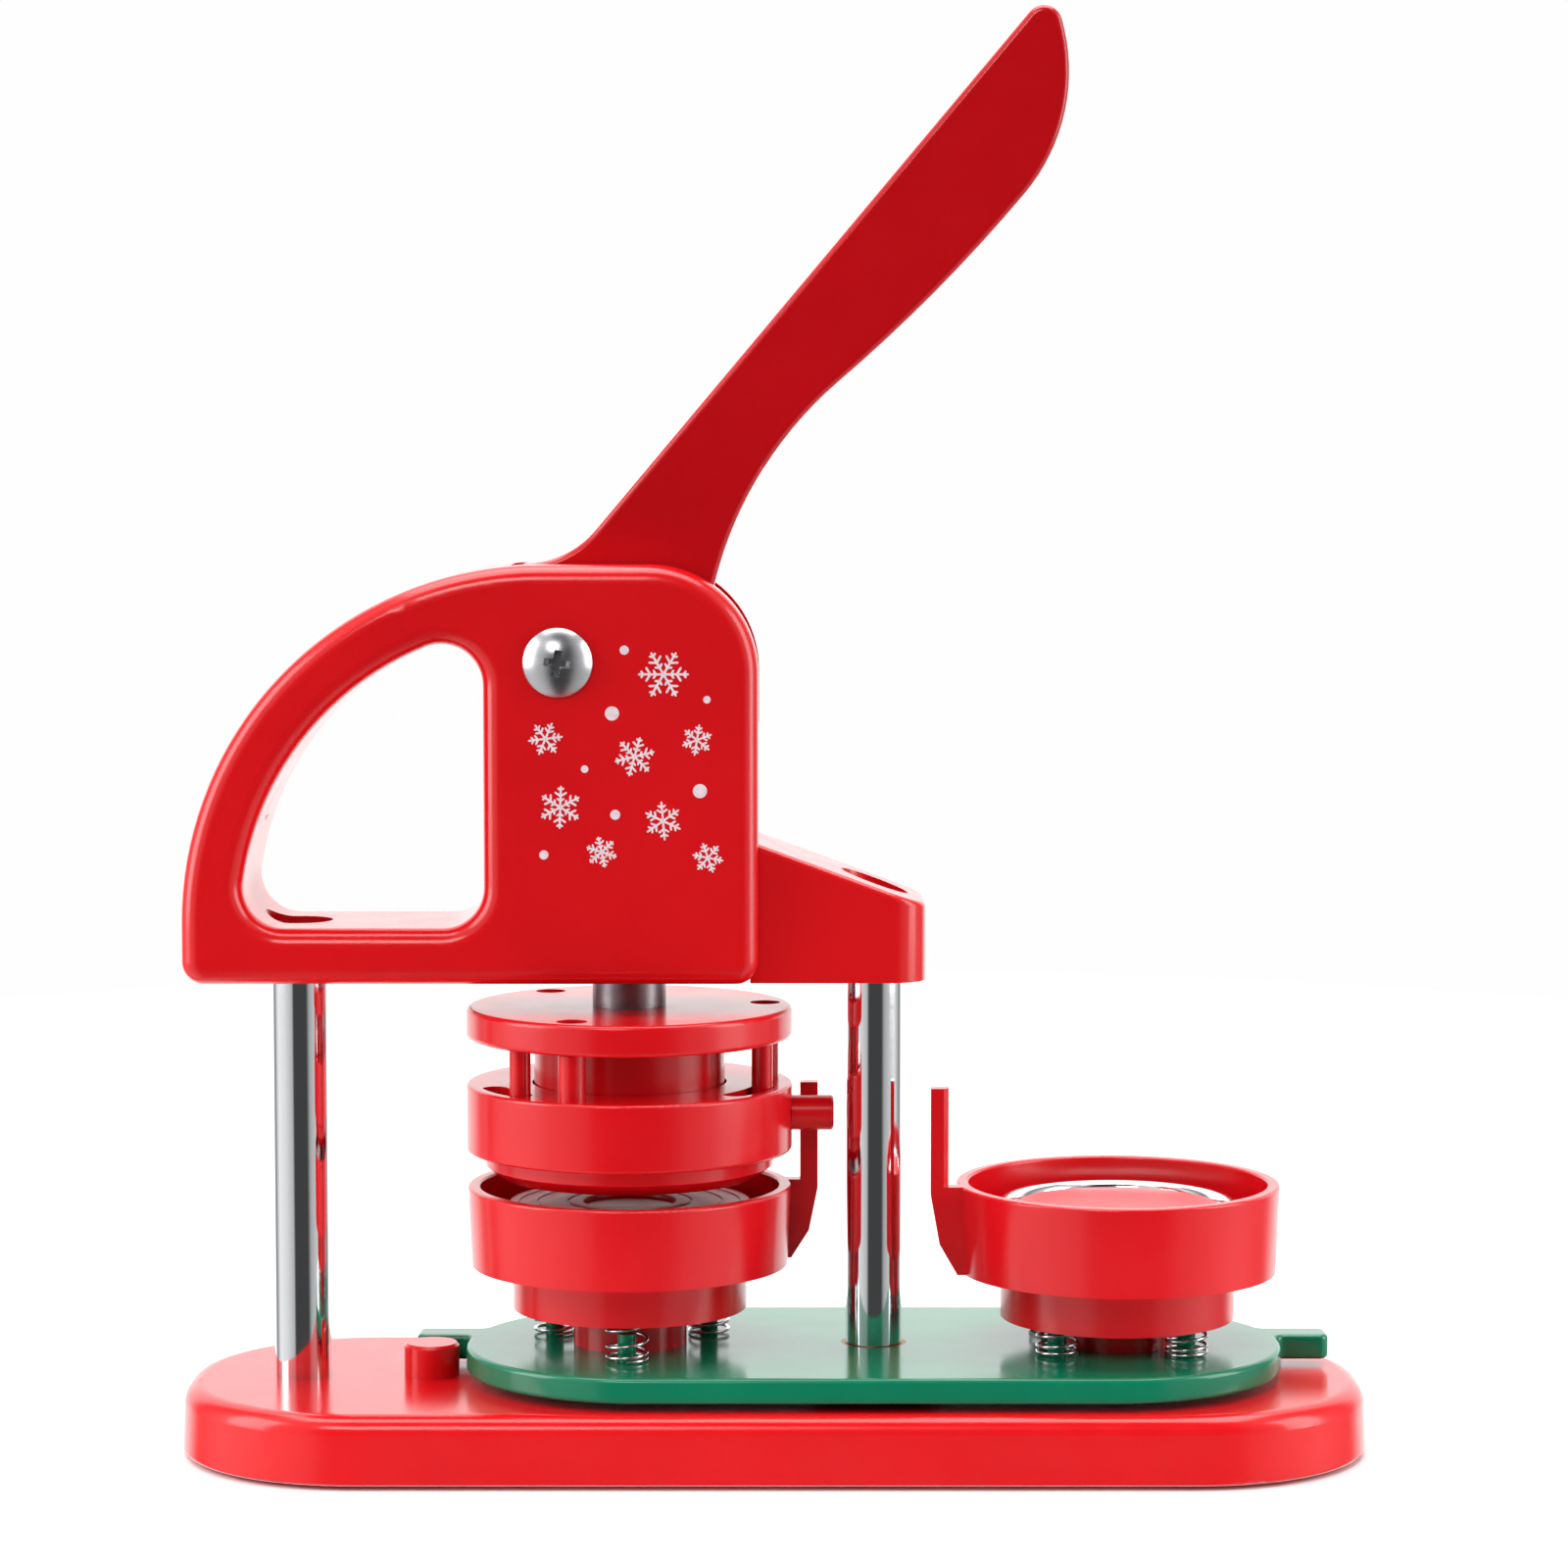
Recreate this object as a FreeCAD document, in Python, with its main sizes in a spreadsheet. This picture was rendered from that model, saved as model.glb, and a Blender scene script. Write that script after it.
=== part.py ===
"""Hand-lever button badge maker with a turntable that carries two floating die cups.

Frame: millimetres, +Z up, +X to the right, +Y to the back. The origin is at the middle of the base, at
the height the rubber feet stand on. The ram's axis and the turntable's pivot lie in the plane Y = 0.
"""
import FreeCAD, Part
import math
import os
import re

import Sketcher

SIZES = {
    # moulded base
    "foot_stand": 1.0,
    "base_length": 292.0,
    "base_depth": 98.0,
    "base_height": 16.6,
    "base_corner": 45.0,
    "base_round": 4.5,
    "base_lip_round": 1.2,
    "base_draft": 2.5,
    "base_wall": 3.0,
    "base_roof": 3.6,
    "boss_radius": 12.0,
    "rib_width": 2.0,
    "rib_depth": 8.0,
    "foot_radius": 8.0,
    "foot_sink": 2.0,
    "foot_inset_x": 34.0,
    "foot_inset_y": 21.0,
    "foot_plug_radius": 4.0,
    "foot_plug_length": 5.0,
    # rods
    "rod_radius": 7.0,
    "rod_chamfer": 0.6,
    "rod_seat": 3.0,
    "rod_top_seat": 2.0,
    "rod_cap": 3.0,
    "rod_floor": 4.0,
    "journal_radius": 5.5,
    "left_rod_x": -116.9,
    "pivot_x": 24.6,
    "press_fit": 0.02,
    "running_fit": 0.05,
    "free_gap": 0.3,
    "slide_gap": 0.1,
    "washer_gap": 0.2,
    "overrun": 1.0,
    # screws: M6 under the base, M8 on top of the rods, M4 through the shells
    "small_screw": 3.0,
    "small_head": 5.0,
    "small_head_height": 4.0,
    "small_washer": 6.5,
    "big_screw": 4.0,
    "big_head": 6.5,
    "big_head_height": 5.0,
    "big_washer": 8.0,
    "washer_thick": 1.2,
    "screw_grip": 12.0,
    "thread_run_out": 2.0,
    "access_hole": 8.25,
    "shell_screw": 2.0,
    "shell_screw_head": 3.8,
    "shell_screw_head_height": 3.4,
    "shell_screw_sink": 6.0,
    "shell_screw_end": 9.0,
    "shell_screw_inset": 7.5,
    "shell_boss": 4.5,
    # stop peg
    "stop_distance": 109.6,
    "stop_radius": 6.85,
    "stop_height": 8.1,
    "stop_chamfer": 0.7,
    "stop_spigot": 4.0,
    "stop_spigot_clear": 2.0,
    # turntable
    "table_lift": 2.0,
    "table_thick": 6.2,
    "table_radius": 43.5,
    "table_reach": 101.0,
    "table_round": 1.2,
    "tab_reach": 114.0,
    "tab_width": 9.5,
    "tab_gap": 0.65,
    "tab_round": 2.4,
    "tab_root": 20.0,
    "bush_wall": 2.5,
    "thrust_radius": 15.0,
    "spring_pin": 2.25,
    "spring_pin_height": 6.7,
    "die_reach": 60.35,
    # columns and pedestals under the cups
    "column_radius": 14.0,
    "column_screw": 3.0,
    "column_screw_head": 6.0,
    "column_grip": 5.0,
    "cross_width": 1.2,
    "cross_depth": 1.6,
    "pedestal_radius": 29.7,
    "pedestal_sink": 4.4,
    "pedestal_dish": 11.5,
    "pedestal_dish_depth": 1.0,
    "crimp_ring_inner": 25.0,
    "crimp_ring_height": 4.6,
    "crimp_ring_crown": 2.07,
    "crimp_ring_clear": 0.2,
    "crimp_seat_rise": 3.2,
    # floating cups
    "cup_inner": 36.85,
    "cup_outer": 39.95,
    "cup_draft": 0.9,
    "cup_floor": 3.1,
    "neck_radius": 28.9,
    "pickup_neck_gap": 9.2,
    "pickup_neck": 10.9,
    "pickup_wall": 19.7,
    "crimp_neck_gap": 6.8,
    "crimp_neck": 11.6,
    "crimp_wall": 21.8,
    "cup_round": 0.7,
    "spring_circle": 22.3,
    "spring_pocket": 6.0,
    "pickup_pocket": 5.5,
    "crimp_pocket": 7.5,
    "spring_coil": 4.9,
    "spring_wire": 0.45,
    "arm_inner": 42.15,
    "arm_width": 4.4,
    "arm_front": 4.9,
    "arm_thick": 4.2,
    "arm_height": 24.4,
    "arm_chamfer": 1.2,
    "arm_root": 0.8,
    "gusset_toe_share": 0.35,
    "gusset_neck": 2.0,
    # upper die
    "ram_travel": 8.0,
    "closing_gap": 0.4,
    "ring_outer": 40.15,
    "ring_height": 16.6,
    "ring_round": 0.8,
    "ring_bore": 30.4,
    "lip_outer": 35.5,
    "lip_straight": 3.6,
    "lip_depth": 6.4,
    "lip_edge": 31.6,
    "web_thick": 7.0,
    "post_circle": 33.8,
    "post_radius": 3.3,
    "post_gap": 0.5,
    "post_hole": 3.75,
    "post_angle": 8.0,
    "ring_twist": 22.0,
    "pin_circle": 34.5,
    "pin_radius": 2.6,
    "pin_slot_gap": 0.4,
    "pin_entry": 6.0,
    "pin_slot_depth": 14.0,
    "pin_angle": -18.0,
    "peg_radius": 4.35,
    "peg_clear": 2.95,
    "peg_root": 40.0,
    "peg_spigot": 3.0,
    "peg_spigot_length": 6.0,
    "peg_drop": 7.8,
    "peg_chamfer": 0.5,
    "hub_radius": 23.5,
    "punch_radius": 29.8,
    "punch_recess": 2.4,
    "punch_floor": 3.0,
    "plate_rise": 11.4,
    "plate_outer": 40.15,
    "plate_thick": 7.6,
    "plate_round": 1.2,
    "plate_gap": 7.5,
    # ram
    "ram_radius": 9.05,
    "ram_seat": 3.0,
    "ram_chamfer": 0.8,
    "bush_shell": 3.95,
    "bush_lip": 1.0,
    "bush_length": 18.5,
    "bush_flange_rim": 2.0,
    "bush_flange_thick": 2.0,
    "return_gap": 1.65,
    "return_wire": 1.0,
    "return_turns": 6,
    "collar_rim": 3.85,
    "collar_thick": 3.0,
    "collar_drop": 14.0,
    "clip_thick": 1.2,
    "clip_rim": 2.35,
    "clip_groove": 0.8,
    # housing shells
    "arch_offset": 20.55,
    "arch_centre_rise": 14.3,
    "arch_radius": 87.1,
    "arch_band": 14.3,
    "opening_rise": 13.6,
    "opening_offset": 34.45,
    "opening_round": 10.0,
    "block_offset": 31.95,
    "block_round": 26.3,
    "corner_round": 5.5,
    "shell_depth": 23.0,
    "shell_wall": 3.2,
    "shell_round": 4.5,
    "rod_collar_wall": 1.3,
    "rod_collar_height": 1.0,
    "wing_depth": 17.5,
    "wing_offset": 12.3,
    "wing_low": 18.8,
    "wing_high": 34.5,
    "wing_round": 9.0,
    "wing_edge": 1.5,
    # lever
    "lever_offset": 16.15,
    "lever_rise": 78.1,
    "lever_rest": 49.9,
    "lever_swing": 50.0,
    "lever_half": 10.0,
    "lever_hub": 13.5,
    "lever_round": 1.6,
    "lever_back": 13.7,
    "flare_radius": 23.1,
    "flare_station": 29.6,
    "flare_turn": 49.7,
    "nose_radius": 4.5,
    "belly_station": 158.4,
    "belly_offset": -13.5,
    "belly_radius": 45.0,
    "palm_radius": 389.0,
    "palm_turn": 9.4,
    "neck_arc": 93.0,
    "neck_turn": 31.0,
    "sleeve_radius": 5.5,
    "sleeve_reach": 2.0,
    "spacer_thick": 0.7,
    "spacer_radius": 9.5,
    "pivot_boss": 10.0,
    "slot_gap": 1.0,
    "slot_offset": 28.25,
    "slot_drop": 16.0,
    "bolt_head": 8.5,
    "bolt_head_height": 3.4,
    "bolt_lip": 0.8,
    "bolt_cross_length": 7.0,
    "bolt_cross_width": 1.9,
    "bolt_cross_depth": 2.6,
    "nut_sink": 8.2,
    "nut_well": 9.0,
    "nut_flats": 13.0,
    "nut_thick": 6.5,
    "cam_half": 5.0,
    "cam_slot_gap": 0.1,
    "cam_slot_from": -155.0,
    "cam_slot_to": -55.0,
    "cam_slot_open": 130.0,
    "cam_hub": 12.0,
    "cam_start": 14.0,
    "cam_reach": 26.0,
    "cam_gap": 0.3,
    "cam_pin": 1.5,
    "cam_pin_circle": 8.9,
}

# heights that several pieces share, each worked out from the sizes above
BASE_TOP = "(foot_stand + base_height)"
TABLE_TOP = f"({BASE_TOP} + table_lift + table_thick)"
PICKUP_RIM = f"({TABLE_TOP} + pickup_neck_gap + pickup_neck + pickup_wall)"
CRIMP_RIM = f"({TABLE_TOP} + crimp_neck_gap + crimp_neck + crimp_wall)"
RING_BOTTOM = f"({CRIMP_RIM} + ram_travel + closing_gap)"
RING_TOP = f"({RING_BOTTOM} + ring_height)"
PLATE_BOTTOM = f"({RING_TOP} + plate_rise)"
PLATE_TOP = f"({PLATE_BOTTOM} + plate_thick)"
HOUSING_BOTTOM = f"({PLATE_TOP} + plate_gap)"
LEVER_Z = f"({HOUSING_BOTTOM} + lever_rise)"
RAM_TOP = f"({LEVER_Z} - cam_start - cam_gap)"
PUNCH_BOTTOM = f"({RING_BOTTOM} - lip_depth + punch_recess)"
WEB_BOTTOM = f"({RING_TOP} - web_thick)"
RAM_X = "(pivot_x - die_reach)"
CRIMP_X = "(pivot_x + die_reach)"
STOP_X = "(pivot_x - stop_distance)"
PEG_LENGTH = "(die_reach - rod_radius - peg_clear - peg_root)"
BOLT_SEAT = f"({HOUSING_BOTTOM} + rod_top_seat + rod_cap)"
ARCH_Z = f"({HOUSING_BOTTOM} + arch_centre_rise)"
HOUSING_TOP = f"({ARCH_Z} + arch_radius)"
ARCH_X = f"({RAM_X} - arch_offset)"
OPENING_RIGHT = f"({RAM_X} - opening_offset)"
HOUSING_LEFT = f"({ARCH_X} - arch_radius)"
HOUSING_RIGHT = f"({RAM_X} + block_offset)"
WING_END = "(pivot_x + wing_offset)"
LEVER_X = f"({RAM_X} - lever_offset)"
SLOT_LEFT = f"({RAM_X} - slot_offset)"
SPACER_OUTSIDE = "(lever_half + free_gap + spacer_thick + slide_gap)"
OPENING_FLOOR = f"({HOUSING_BOTTOM} + opening_rise)"
OPENING_RADIUS = "(arch_radius - arch_band)"
BUSH_OUTER = "(ram_radius + bush_shell)"
BUSH_TOP = f"({HOUSING_BOTTOM} + bush_lip + bush_length + bush_flange_thick)"
COLLAR_TOP = f"({RAM_TOP} - collar_drop)"

PICKUP_ANGLES = (-90, 30, 150)
CRIMP_ANGLES = (45, 135, 225, 315)
THIRDS = (0, 120, 240)
ARCH_SCREW_ANGLES = (110, 150)
ARCH_HOLLOW_ANGLES = (104, 170)
CAM_PIN_ANGLES = (60, 180)

UPRIGHT = FreeCAD.Rotation()
TURNS = {
    "z": UPRIGHT,
    "-z": FreeCAD.Rotation(FreeCAD.Vector(1, 0, 0), 180),
    "x": FreeCAD.Rotation(FreeCAD.Vector(0, 1, 0), 90),
    "y": FreeCAD.Rotation(FreeCAD.Vector(1, 0, 0), -90),
    "-y": FreeCAD.Rotation(FreeCAD.Vector(1, 0, 0), 90),
}

doc = FreeCAD.newDocument("badge_maker")
sheet = doc.addObject("Spreadsheet::Sheet", "Sizes")
for row, (alias, size) in enumerate(SIZES.items(), start=1):
    sheet.set(f"A{row}", alias)
    sheet.set(f"B{row}", str(size))
    sheet.setAlias(f"B{row}", alias)
doc.recompute()

sub_parts = []


def bound(text):
    """The expression with each size's name pointing at its cell of the sheet."""
    return re.sub(r"[a-z][a-z_]+", lambda word: "Sizes." + word[0] if word[0] in SIZES else word[0],
                  str(text))


def number(text):
    """The value of an expression on the sheet's sizes."""
    return float(sheet.evalExpression(str(text)))


def bind(item, sizes):
    """Ties properties of an object to expressions on the sheet."""
    for name, text in sizes.items():
        item.setExpression(name, bound(text))


def place(item, x=0, y=0, z=0):
    """Ties an object's place to expressions on the sheet."""
    bind(item, {"Placement.Base.x": x, "Placement.Base.y": y, "Placement.Base.z": z})


def new_body(name, keep=True):
    """A body; its Label names its file when it is a sub-part by itself."""
    body = doc.addObject("PartDesign::Body", name)
    if keep:
        sub_parts.append(body)
    return body


def new_group(name, members):
    """One sub-part made of several identical separate solids."""
    group = doc.addObject("Part::Compound", name)
    group.Links = members
    sub_parts.append(group)
    return group


def new_sketch(body, name, plane, lift=0):
    """A sketch on one of the body's own origin planes, lifted along the plane's normal."""
    sketch = body.newObject("Sketcher::SketchObject", name)
    origin_plane = next(item for item in body.Origin.OriginFeatures if item.Role == plane)
    sketch.AttachmentSupport = [(origin_plane, "")]
    sketch.MapMode = "FlatFace"
    bind(sketch, {"AttachmentOffset.Base.z": lift})
    return sketch


def pin_down(sketch, index, end, x, y):
    """Fixes one end of a sketch element at a place given by two expressions."""
    for kind, text, axis in (("DistanceX", x, -2), ("DistanceY", y, -1)):
        value = number(text)
        if abs(value) < 1e-9:
            sketch.addConstraint(Sketcher.Constraint("PointOnObject", index, end, axis))
            continue
        label = f"{kind}_{index}_{end}"
        row_number = sketch.addConstraint(Sketcher.Constraint(kind, -1, 1, index, end, value))
        sketch.renameConstraint(row_number, label)
        sketch.setExpression(f"Constraints.{label}", bound(text))


def set_radius(sketch, index, text):
    """Fixes the radius of a sketch arc or circle."""
    row_number = sketch.addConstraint(Sketcher.Constraint("Radius", index, number(text)))
    sketch.renameConstraint(row_number, f"Radius_{index}")
    sketch.setExpression(f"Constraints.Radius_{index}", bound(text))


def draw_outline(sketch, corners):
    """Closed outline. A corner is (x, y) or (x, y, radius, turn): with a radius, the side that leaves
    the corner is an arc that turns left or right."""
    first = sketch.GeometryCount
    count = len(corners)
    ends = []
    for index, corner in enumerate(corners):
        following = corners[(index + 1) % count]
        start = FreeCAD.Vector(number(corner[0]), number(corner[1]), 0)
        stop = FreeCAD.Vector(number(following[0]), number(following[1]), 0)
        if len(corner) == 2:
            sketch.addGeometry(Part.LineSegment(start, stop), False)
            ends.append((1, 2))
            continue
        radius = number(corner[2])
        side = 1 if corner[3] == "left" else -1
        chord = stop - start
        across = FreeCAD.Vector(-chord.y, chord.x, 0).normalize()
        centre = (start + stop) * 0.5 + across * side * math.sqrt(radius**2 - (chord.Length / 2) ** 2)
        low, high = (start, stop) if side > 0 else (stop, start)
        angles = [math.atan2(point.y - centre.y, point.x - centre.x) for point in (low, high)]
        circle = Part.Circle(centre, FreeCAD.Vector(0, 0, 1), radius)
        sketch.addGeometry(Part.ArcOfCircle(circle, angles[0], angles[1]), False)
        ends.append((1, 2) if side > 0 else (2, 1))
    for index, corner in enumerate(corners):
        element = first + index
        following = (index + 1) % count
        join = Sketcher.Constraint("Coincident", element, ends[index][1], first + following,
                                   ends[following][0])
        sketch.addConstraint(join)
        pin_down(sketch, element, ends[index][0], corner[0], corner[1])
        if len(corner) == 4:
            set_radius(sketch, element, corner[2])


def pad(body, name, sketch, length, **settings):
    """Pad of a sketch along its plane's normal."""
    feature = body.newObject("PartDesign::Pad", name)
    feature.Profile = sketch
    for key, value in settings.items():
        setattr(feature, key, value)
    bind(feature, {"Length": length})
    return feature


def pocket(body, name, sketch, length, **settings):
    """Pocket of a sketch against its plane's normal, or along it when reversed."""
    feature = body.newObject("PartDesign::Pocket", name)
    feature.Profile = sketch
    for key, value in settings.items():
        setattr(feature, key, value)
    bind(feature, {"Length": length})
    return feature


def revolve(body, name, corners):
    """Solid of revolution about the body's Z axis, from a profile of (radius, height) corners."""
    sketch = new_sketch(body, name + "_profile", "XZ_Plane")
    draw_outline(sketch, corners)
    feature = body.newObject("PartDesign::Revolution", name)
    feature.Profile = sketch
    feature.ReferenceAxis = (sketch, ["V_Axis"])
    feature.Angle = 360
    return feature


def cylinder(body, kind, name, radius, length, x=0, y=0, z=0, axis="z"):
    """Cylinder added to a body or cut from it; kind is Additive or Subtractive."""
    feature = body.newObject(f"PartDesign::{kind}Cylinder", name)
    feature.Placement = FreeCAD.Placement(FreeCAD.Vector(), TURNS[axis])
    bind(feature, {"Radius": radius, "Height": length})
    place(feature, x, y, z)
    return feature


def box(body, kind, name, length, width, height, x=0, y=0, z=0):
    """Box added to a body or cut from it, from its lowest corner."""
    feature = body.newObject(f"PartDesign::{kind}Box", name)
    bind(feature, {"Length": length, "Width": width, "Height": height})
    place(feature, x, y, z)
    return feature


def round_edges(body, name, radius, test, kind="Fillet"):
    """Fillet or chamfer on the edges of the body's last feature that pass a test."""
    doc.recompute()
    tip = body.Tip
    names = [f"Edge{index}" for index, edge in enumerate(tip.Shape.Edges, start=1) if test(edge)]
    feature = body.newObject(f"PartDesign::{kind}", name)
    feature.Base = (tip, names)
    bind(feature, {"Radius" if kind == "Fillet" else "Size": radius})
    return feature


def flat_at(height):
    """Test for an edge that lies wholly at one height."""
    level = number(height)
    return lambda edge: abs(edge.BoundBox.ZMin - level) < 1e-4 and abs(edge.BoundBox.ZMax - level) < 1e-4


def upright_at(x, y, reach=1.0):
    """Test for an upright edge near a place in plan."""

    def test(edge):
        ends = [vertex.Point for vertex in edge.Vertexes]
        if len(ends) != 2 or abs(ends[0].z - ends[1].z) < 1:
            return False
        return all(math.hypot(point.x - number(x), point.y - number(y)) < reach for point in ends)

    return test


def polar(radius, angle):
    """Plan position on a circle, as two expressions."""
    return f"{radius} * cos({angle})", f"{radius} * sin({angle})"


def tube(name, inner, outer, length, x=0, y=0, z=0, axis="z", keep=True):
    """Washer, bush or sleeve."""
    body = new_body(name, keep)
    cylinder(body, "Additive", name + "_outside", outer, length, axis=axis)
    cylinder(body, "Subtractive", name + "_bore", inner, length, axis=axis)
    place(body, x, y, z)
    return body


def cap_screw(name, shank, head, head_height, length, x=0, y=0, z=0, axis="z", keep=True):
    """Button-head screw: its seat is at the given place and its shank points along the axis."""
    body = new_body(name, keep)
    back = {"z": "-z", "-z": "z", "y": "-y", "-y": "y"}[axis]
    cylinder(body, "Additive", name + "_shank", shank, length, axis=axis)
    cylinder(body, "Additive", name + "_head", head, head_height, axis=back)
    doc.recompute()
    direction = TURNS[axis].multVec(FreeCAD.Vector(0, 0, 1))
    crown = -number(head_height)
    edge_test = lambda edge: abs(edge.CenterOfMass.dot(direction) - crown) < 1e-4
    round_edges(body, name + "_crown", f"{head_height} * 0.3", edge_test)
    socket = cylinder(body, "Subtractive", name + "_socket", f"{head} * 0.45", f"{head_height} * 0.55",
                      axis=axis)
    offset = direction * -1
    place(socket, *[f"{head_height} * {component}" for component in offset])
    place(body, x, y, z)
    return body


def make_base():
    """Moulded shell with a drafted rounded outline, bosses and ribs underneath."""
    body = new_body("base")
    half_x, half_y = "base_length / 2", "base_depth / 2"

    def rounded(inset):
        radius = f"base_corner - {inset}"
        side_x, side_y = f"({half_x} - {inset})", f"({half_y} - {inset})"
        flat_x, flat_y = f"({half_x} - base_corner)", f"({half_y} - base_corner)"
        return [
            (f"-{flat_x}", f"-{side_y}"),
            (flat_x, f"-{side_y}", radius, "left"),
            (side_x, f"-{flat_y}"),
            (side_x, flat_y, radius, "left"),
            (flat_x, side_y),
            (f"-{flat_x}", side_y, radius, "left"),
            (f"-{side_x}", flat_y),
            (f"-{side_x}", f"-{flat_y}", radius, "left"),
        ]

    outline = new_sketch(body, "base_outline", "XY_Plane")
    draw_outline(outline, rounded("0"))
    shell = pad(body, "base_shell", outline, "base_height")
    bind(shell, {"TaperAngle": "-base_draft"})
    round_edges(body, "base_top_round", "base_round", flat_at("base_height"))
    round_edges(body, "base_lip", "base_lip_round", flat_at("0"))
    hollow = new_sketch(body, "base_hollow_outline", "XY_Plane")
    draw_outline(hollow, rounded("base_wall"))
    cavity = pocket(body, "base_hollow", hollow, "base_height - base_roof", Reversed=True)
    bind(cavity, {"TaperAngle": "-base_draft"})
    ribs = new_sketch(body, "base_rib_lines", "XY_Plane", "base_height - base_roof - rib_depth")
    for start in ("-base_length / 4", "0", "base_length / 4"):
        left, right = f"{start} - rib_width / 2", f"{start} + rib_width / 2"
        back = f"({half_y} - base_wall / 2)"
        draw_outline(ribs, [(left, f"-{back}"), (right, f"-{back}"), (right, back), (left, back)])
    pad(body, "base_ribs", ribs, "rib_depth + base_roof / 2")
    for index, (x, y) in enumerate(foot_places() + [("left_rod_x", 0), ("pivot_x", 0), (STOP_X, 0)]):
        cylinder(body, "Additive", f"base_boss{index}", "boss_radius", "base_height - base_roof / 2", x, y)
    for index, (x, y) in enumerate(foot_places()):
        cylinder(body, "Subtractive", f"foot_recess{index}", "foot_radius + press_fit", "foot_sink", x, y)
        cylinder(body, "Subtractive", f"foot_hole{index}", "foot_plug_radius + press_fit",
                 "foot_sink + foot_plug_length", x, y)
    for index, (x, radius) in enumerate((("left_rod_x", "rod_radius"), ("pivot_x", "journal_radius"))):
        cylinder(body, "Subtractive", f"rod_socket{index}", f"{radius} + press_fit", "rod_seat + overrun",
                 x, 0, "base_height - rod_seat")
        cylinder(body, "Subtractive", f"rod_screw_hole{index}", "small_screw + free_gap", "base_height", x)
        cylinder(body, "Subtractive", f"rod_screw_well{index}", "small_washer + free_gap",
                 "base_height - rod_seat - rod_floor", x)
    cylinder(body, "Subtractive", "stop_hole", "stop_spigot + press_fit", "base_height", STOP_X)
    place(body, z="foot_stand")


def foot_places():
    """Plan positions of the four feet."""
    x, y = "(base_length / 2 - foot_inset_x)", "(base_depth / 2 - foot_inset_y)"
    return [(f"{a} * {x}", f"{b} * {y}") for a in (-1, 1) for b in (-1, 1)]


def make_feet():
    """Rubber feet, each a disc with a plug pressed into the base."""
    feet = []
    for index, (x, y) in enumerate(foot_places()):
        foot = new_body(f"foot{index}", keep=False)
        cylinder(foot, "Additive", f"foot_pad{index}", "foot_radius", "foot_stand + foot_sink")
        cylinder(foot, "Additive", f"foot_plug{index}", "foot_plug_radius",
                 "foot_stand + foot_sink + foot_plug_length - washer_gap")
        place(foot, x, y)
        feet.append(foot)
    new_group("rubber_feet", feet)


def make_stop_peg():
    """Peg that the turntable's tabs come to rest against."""
    body = new_body("stop_peg")
    cylinder(body, "Additive", "stop_head", "stop_radius", "stop_height")
    round_edges(body, "stop_edge", "stop_chamfer", flat_at("stop_height"), "Chamfer")
    cylinder(body, "Additive", "stop_shank", "stop_spigot", "base_height - stop_spigot_clear", axis="-z")
    place(body, STOP_X, 0, BASE_TOP)


def make_rods():
    """Polished columns. The right one has a thinner journal that the turntable turns on."""
    bottom = f"({BASE_TOP} - rod_seat)"
    top = f"({HOUSING_BOTTOM} + rod_top_seat)"
    left = new_body("left_rod")
    cylinder(left, "Additive", "left_rod_shaft", "rod_radius", f"{top} - {bottom}")
    ends = lambda edge: flat_at("0")(edge) or flat_at(f"{top} - {bottom}")(edge)
    round_edges(left, "left_rod_ends", "rod_chamfer", ends, "Chamfer")
    right = new_body("right_rod")
    shoulder = f"({TABLE_TOP} + slide_gap - {bottom})"
    cylinder(right, "Additive", "right_rod_journal", "journal_radius", f"{shoulder} + overrun")
    cylinder(right, "Additive", "right_rod_shaft", "rod_radius", f"{top} - {bottom} - {shoulder}", z=shoulder)
    round_edges(right, "right_rod_end", "rod_chamfer", flat_at(f"{top} - {bottom}"), "Chamfer")
    for body, x in ((left, "left_rod_x"), (right, "pivot_x")):
        name = body.Label
        depth = "screw_grip + thread_run_out"
        cylinder(body, "Subtractive", name + "_lower_thread", "small_screw", depth)
        cylinder(body, "Subtractive", name + "_upper_thread", "big_screw", depth,
                 z=f"{top} - {bottom} - ({depth})")
        place(body, x, 0, bottom)


def make_rod_screws():
    """Screws and washers that hold the rods to the base and to the housing."""
    lower_seat = f"({BASE_TOP} - rod_seat - rod_floor)"
    lower, lower_washers, upper, upper_washers = [], [], [], []
    for index, x in enumerate(("left_rod_x", "pivot_x")):
        lower_washers.append(tube(f"base_washer{index}", "small_screw + free_gap", "small_washer",
                                  "washer_thick",
                                  x, 0, f"{lower_seat} - washer_thick", keep=False))
        lower.append(cap_screw(f"base_bolt{index}", "small_screw", "small_head", "small_head_height",
                               "washer_thick + rod_floor + screw_grip", x, 0, f"{lower_seat} - washer_thick",
                               keep=False))
        upper_washers.append(tube(f"top_washer{index}", "big_screw + free_gap", "big_washer", "washer_thick",
                                  x, 0, BOLT_SEAT, keep=False))
        upper.append(cap_screw(f"top_bolt{index}", "big_screw", "big_head", "big_head_height",
                               "washer_thick + rod_cap + screw_grip", x, 0, f"{BOLT_SEAT} + washer_thick",
                               axis="-z", keep=False))
    new_group("base_washers", lower_washers)
    new_group("base_bolts", lower)
    new_group("top_washers", upper_washers)
    new_group("top_bolts", upper)


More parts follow.
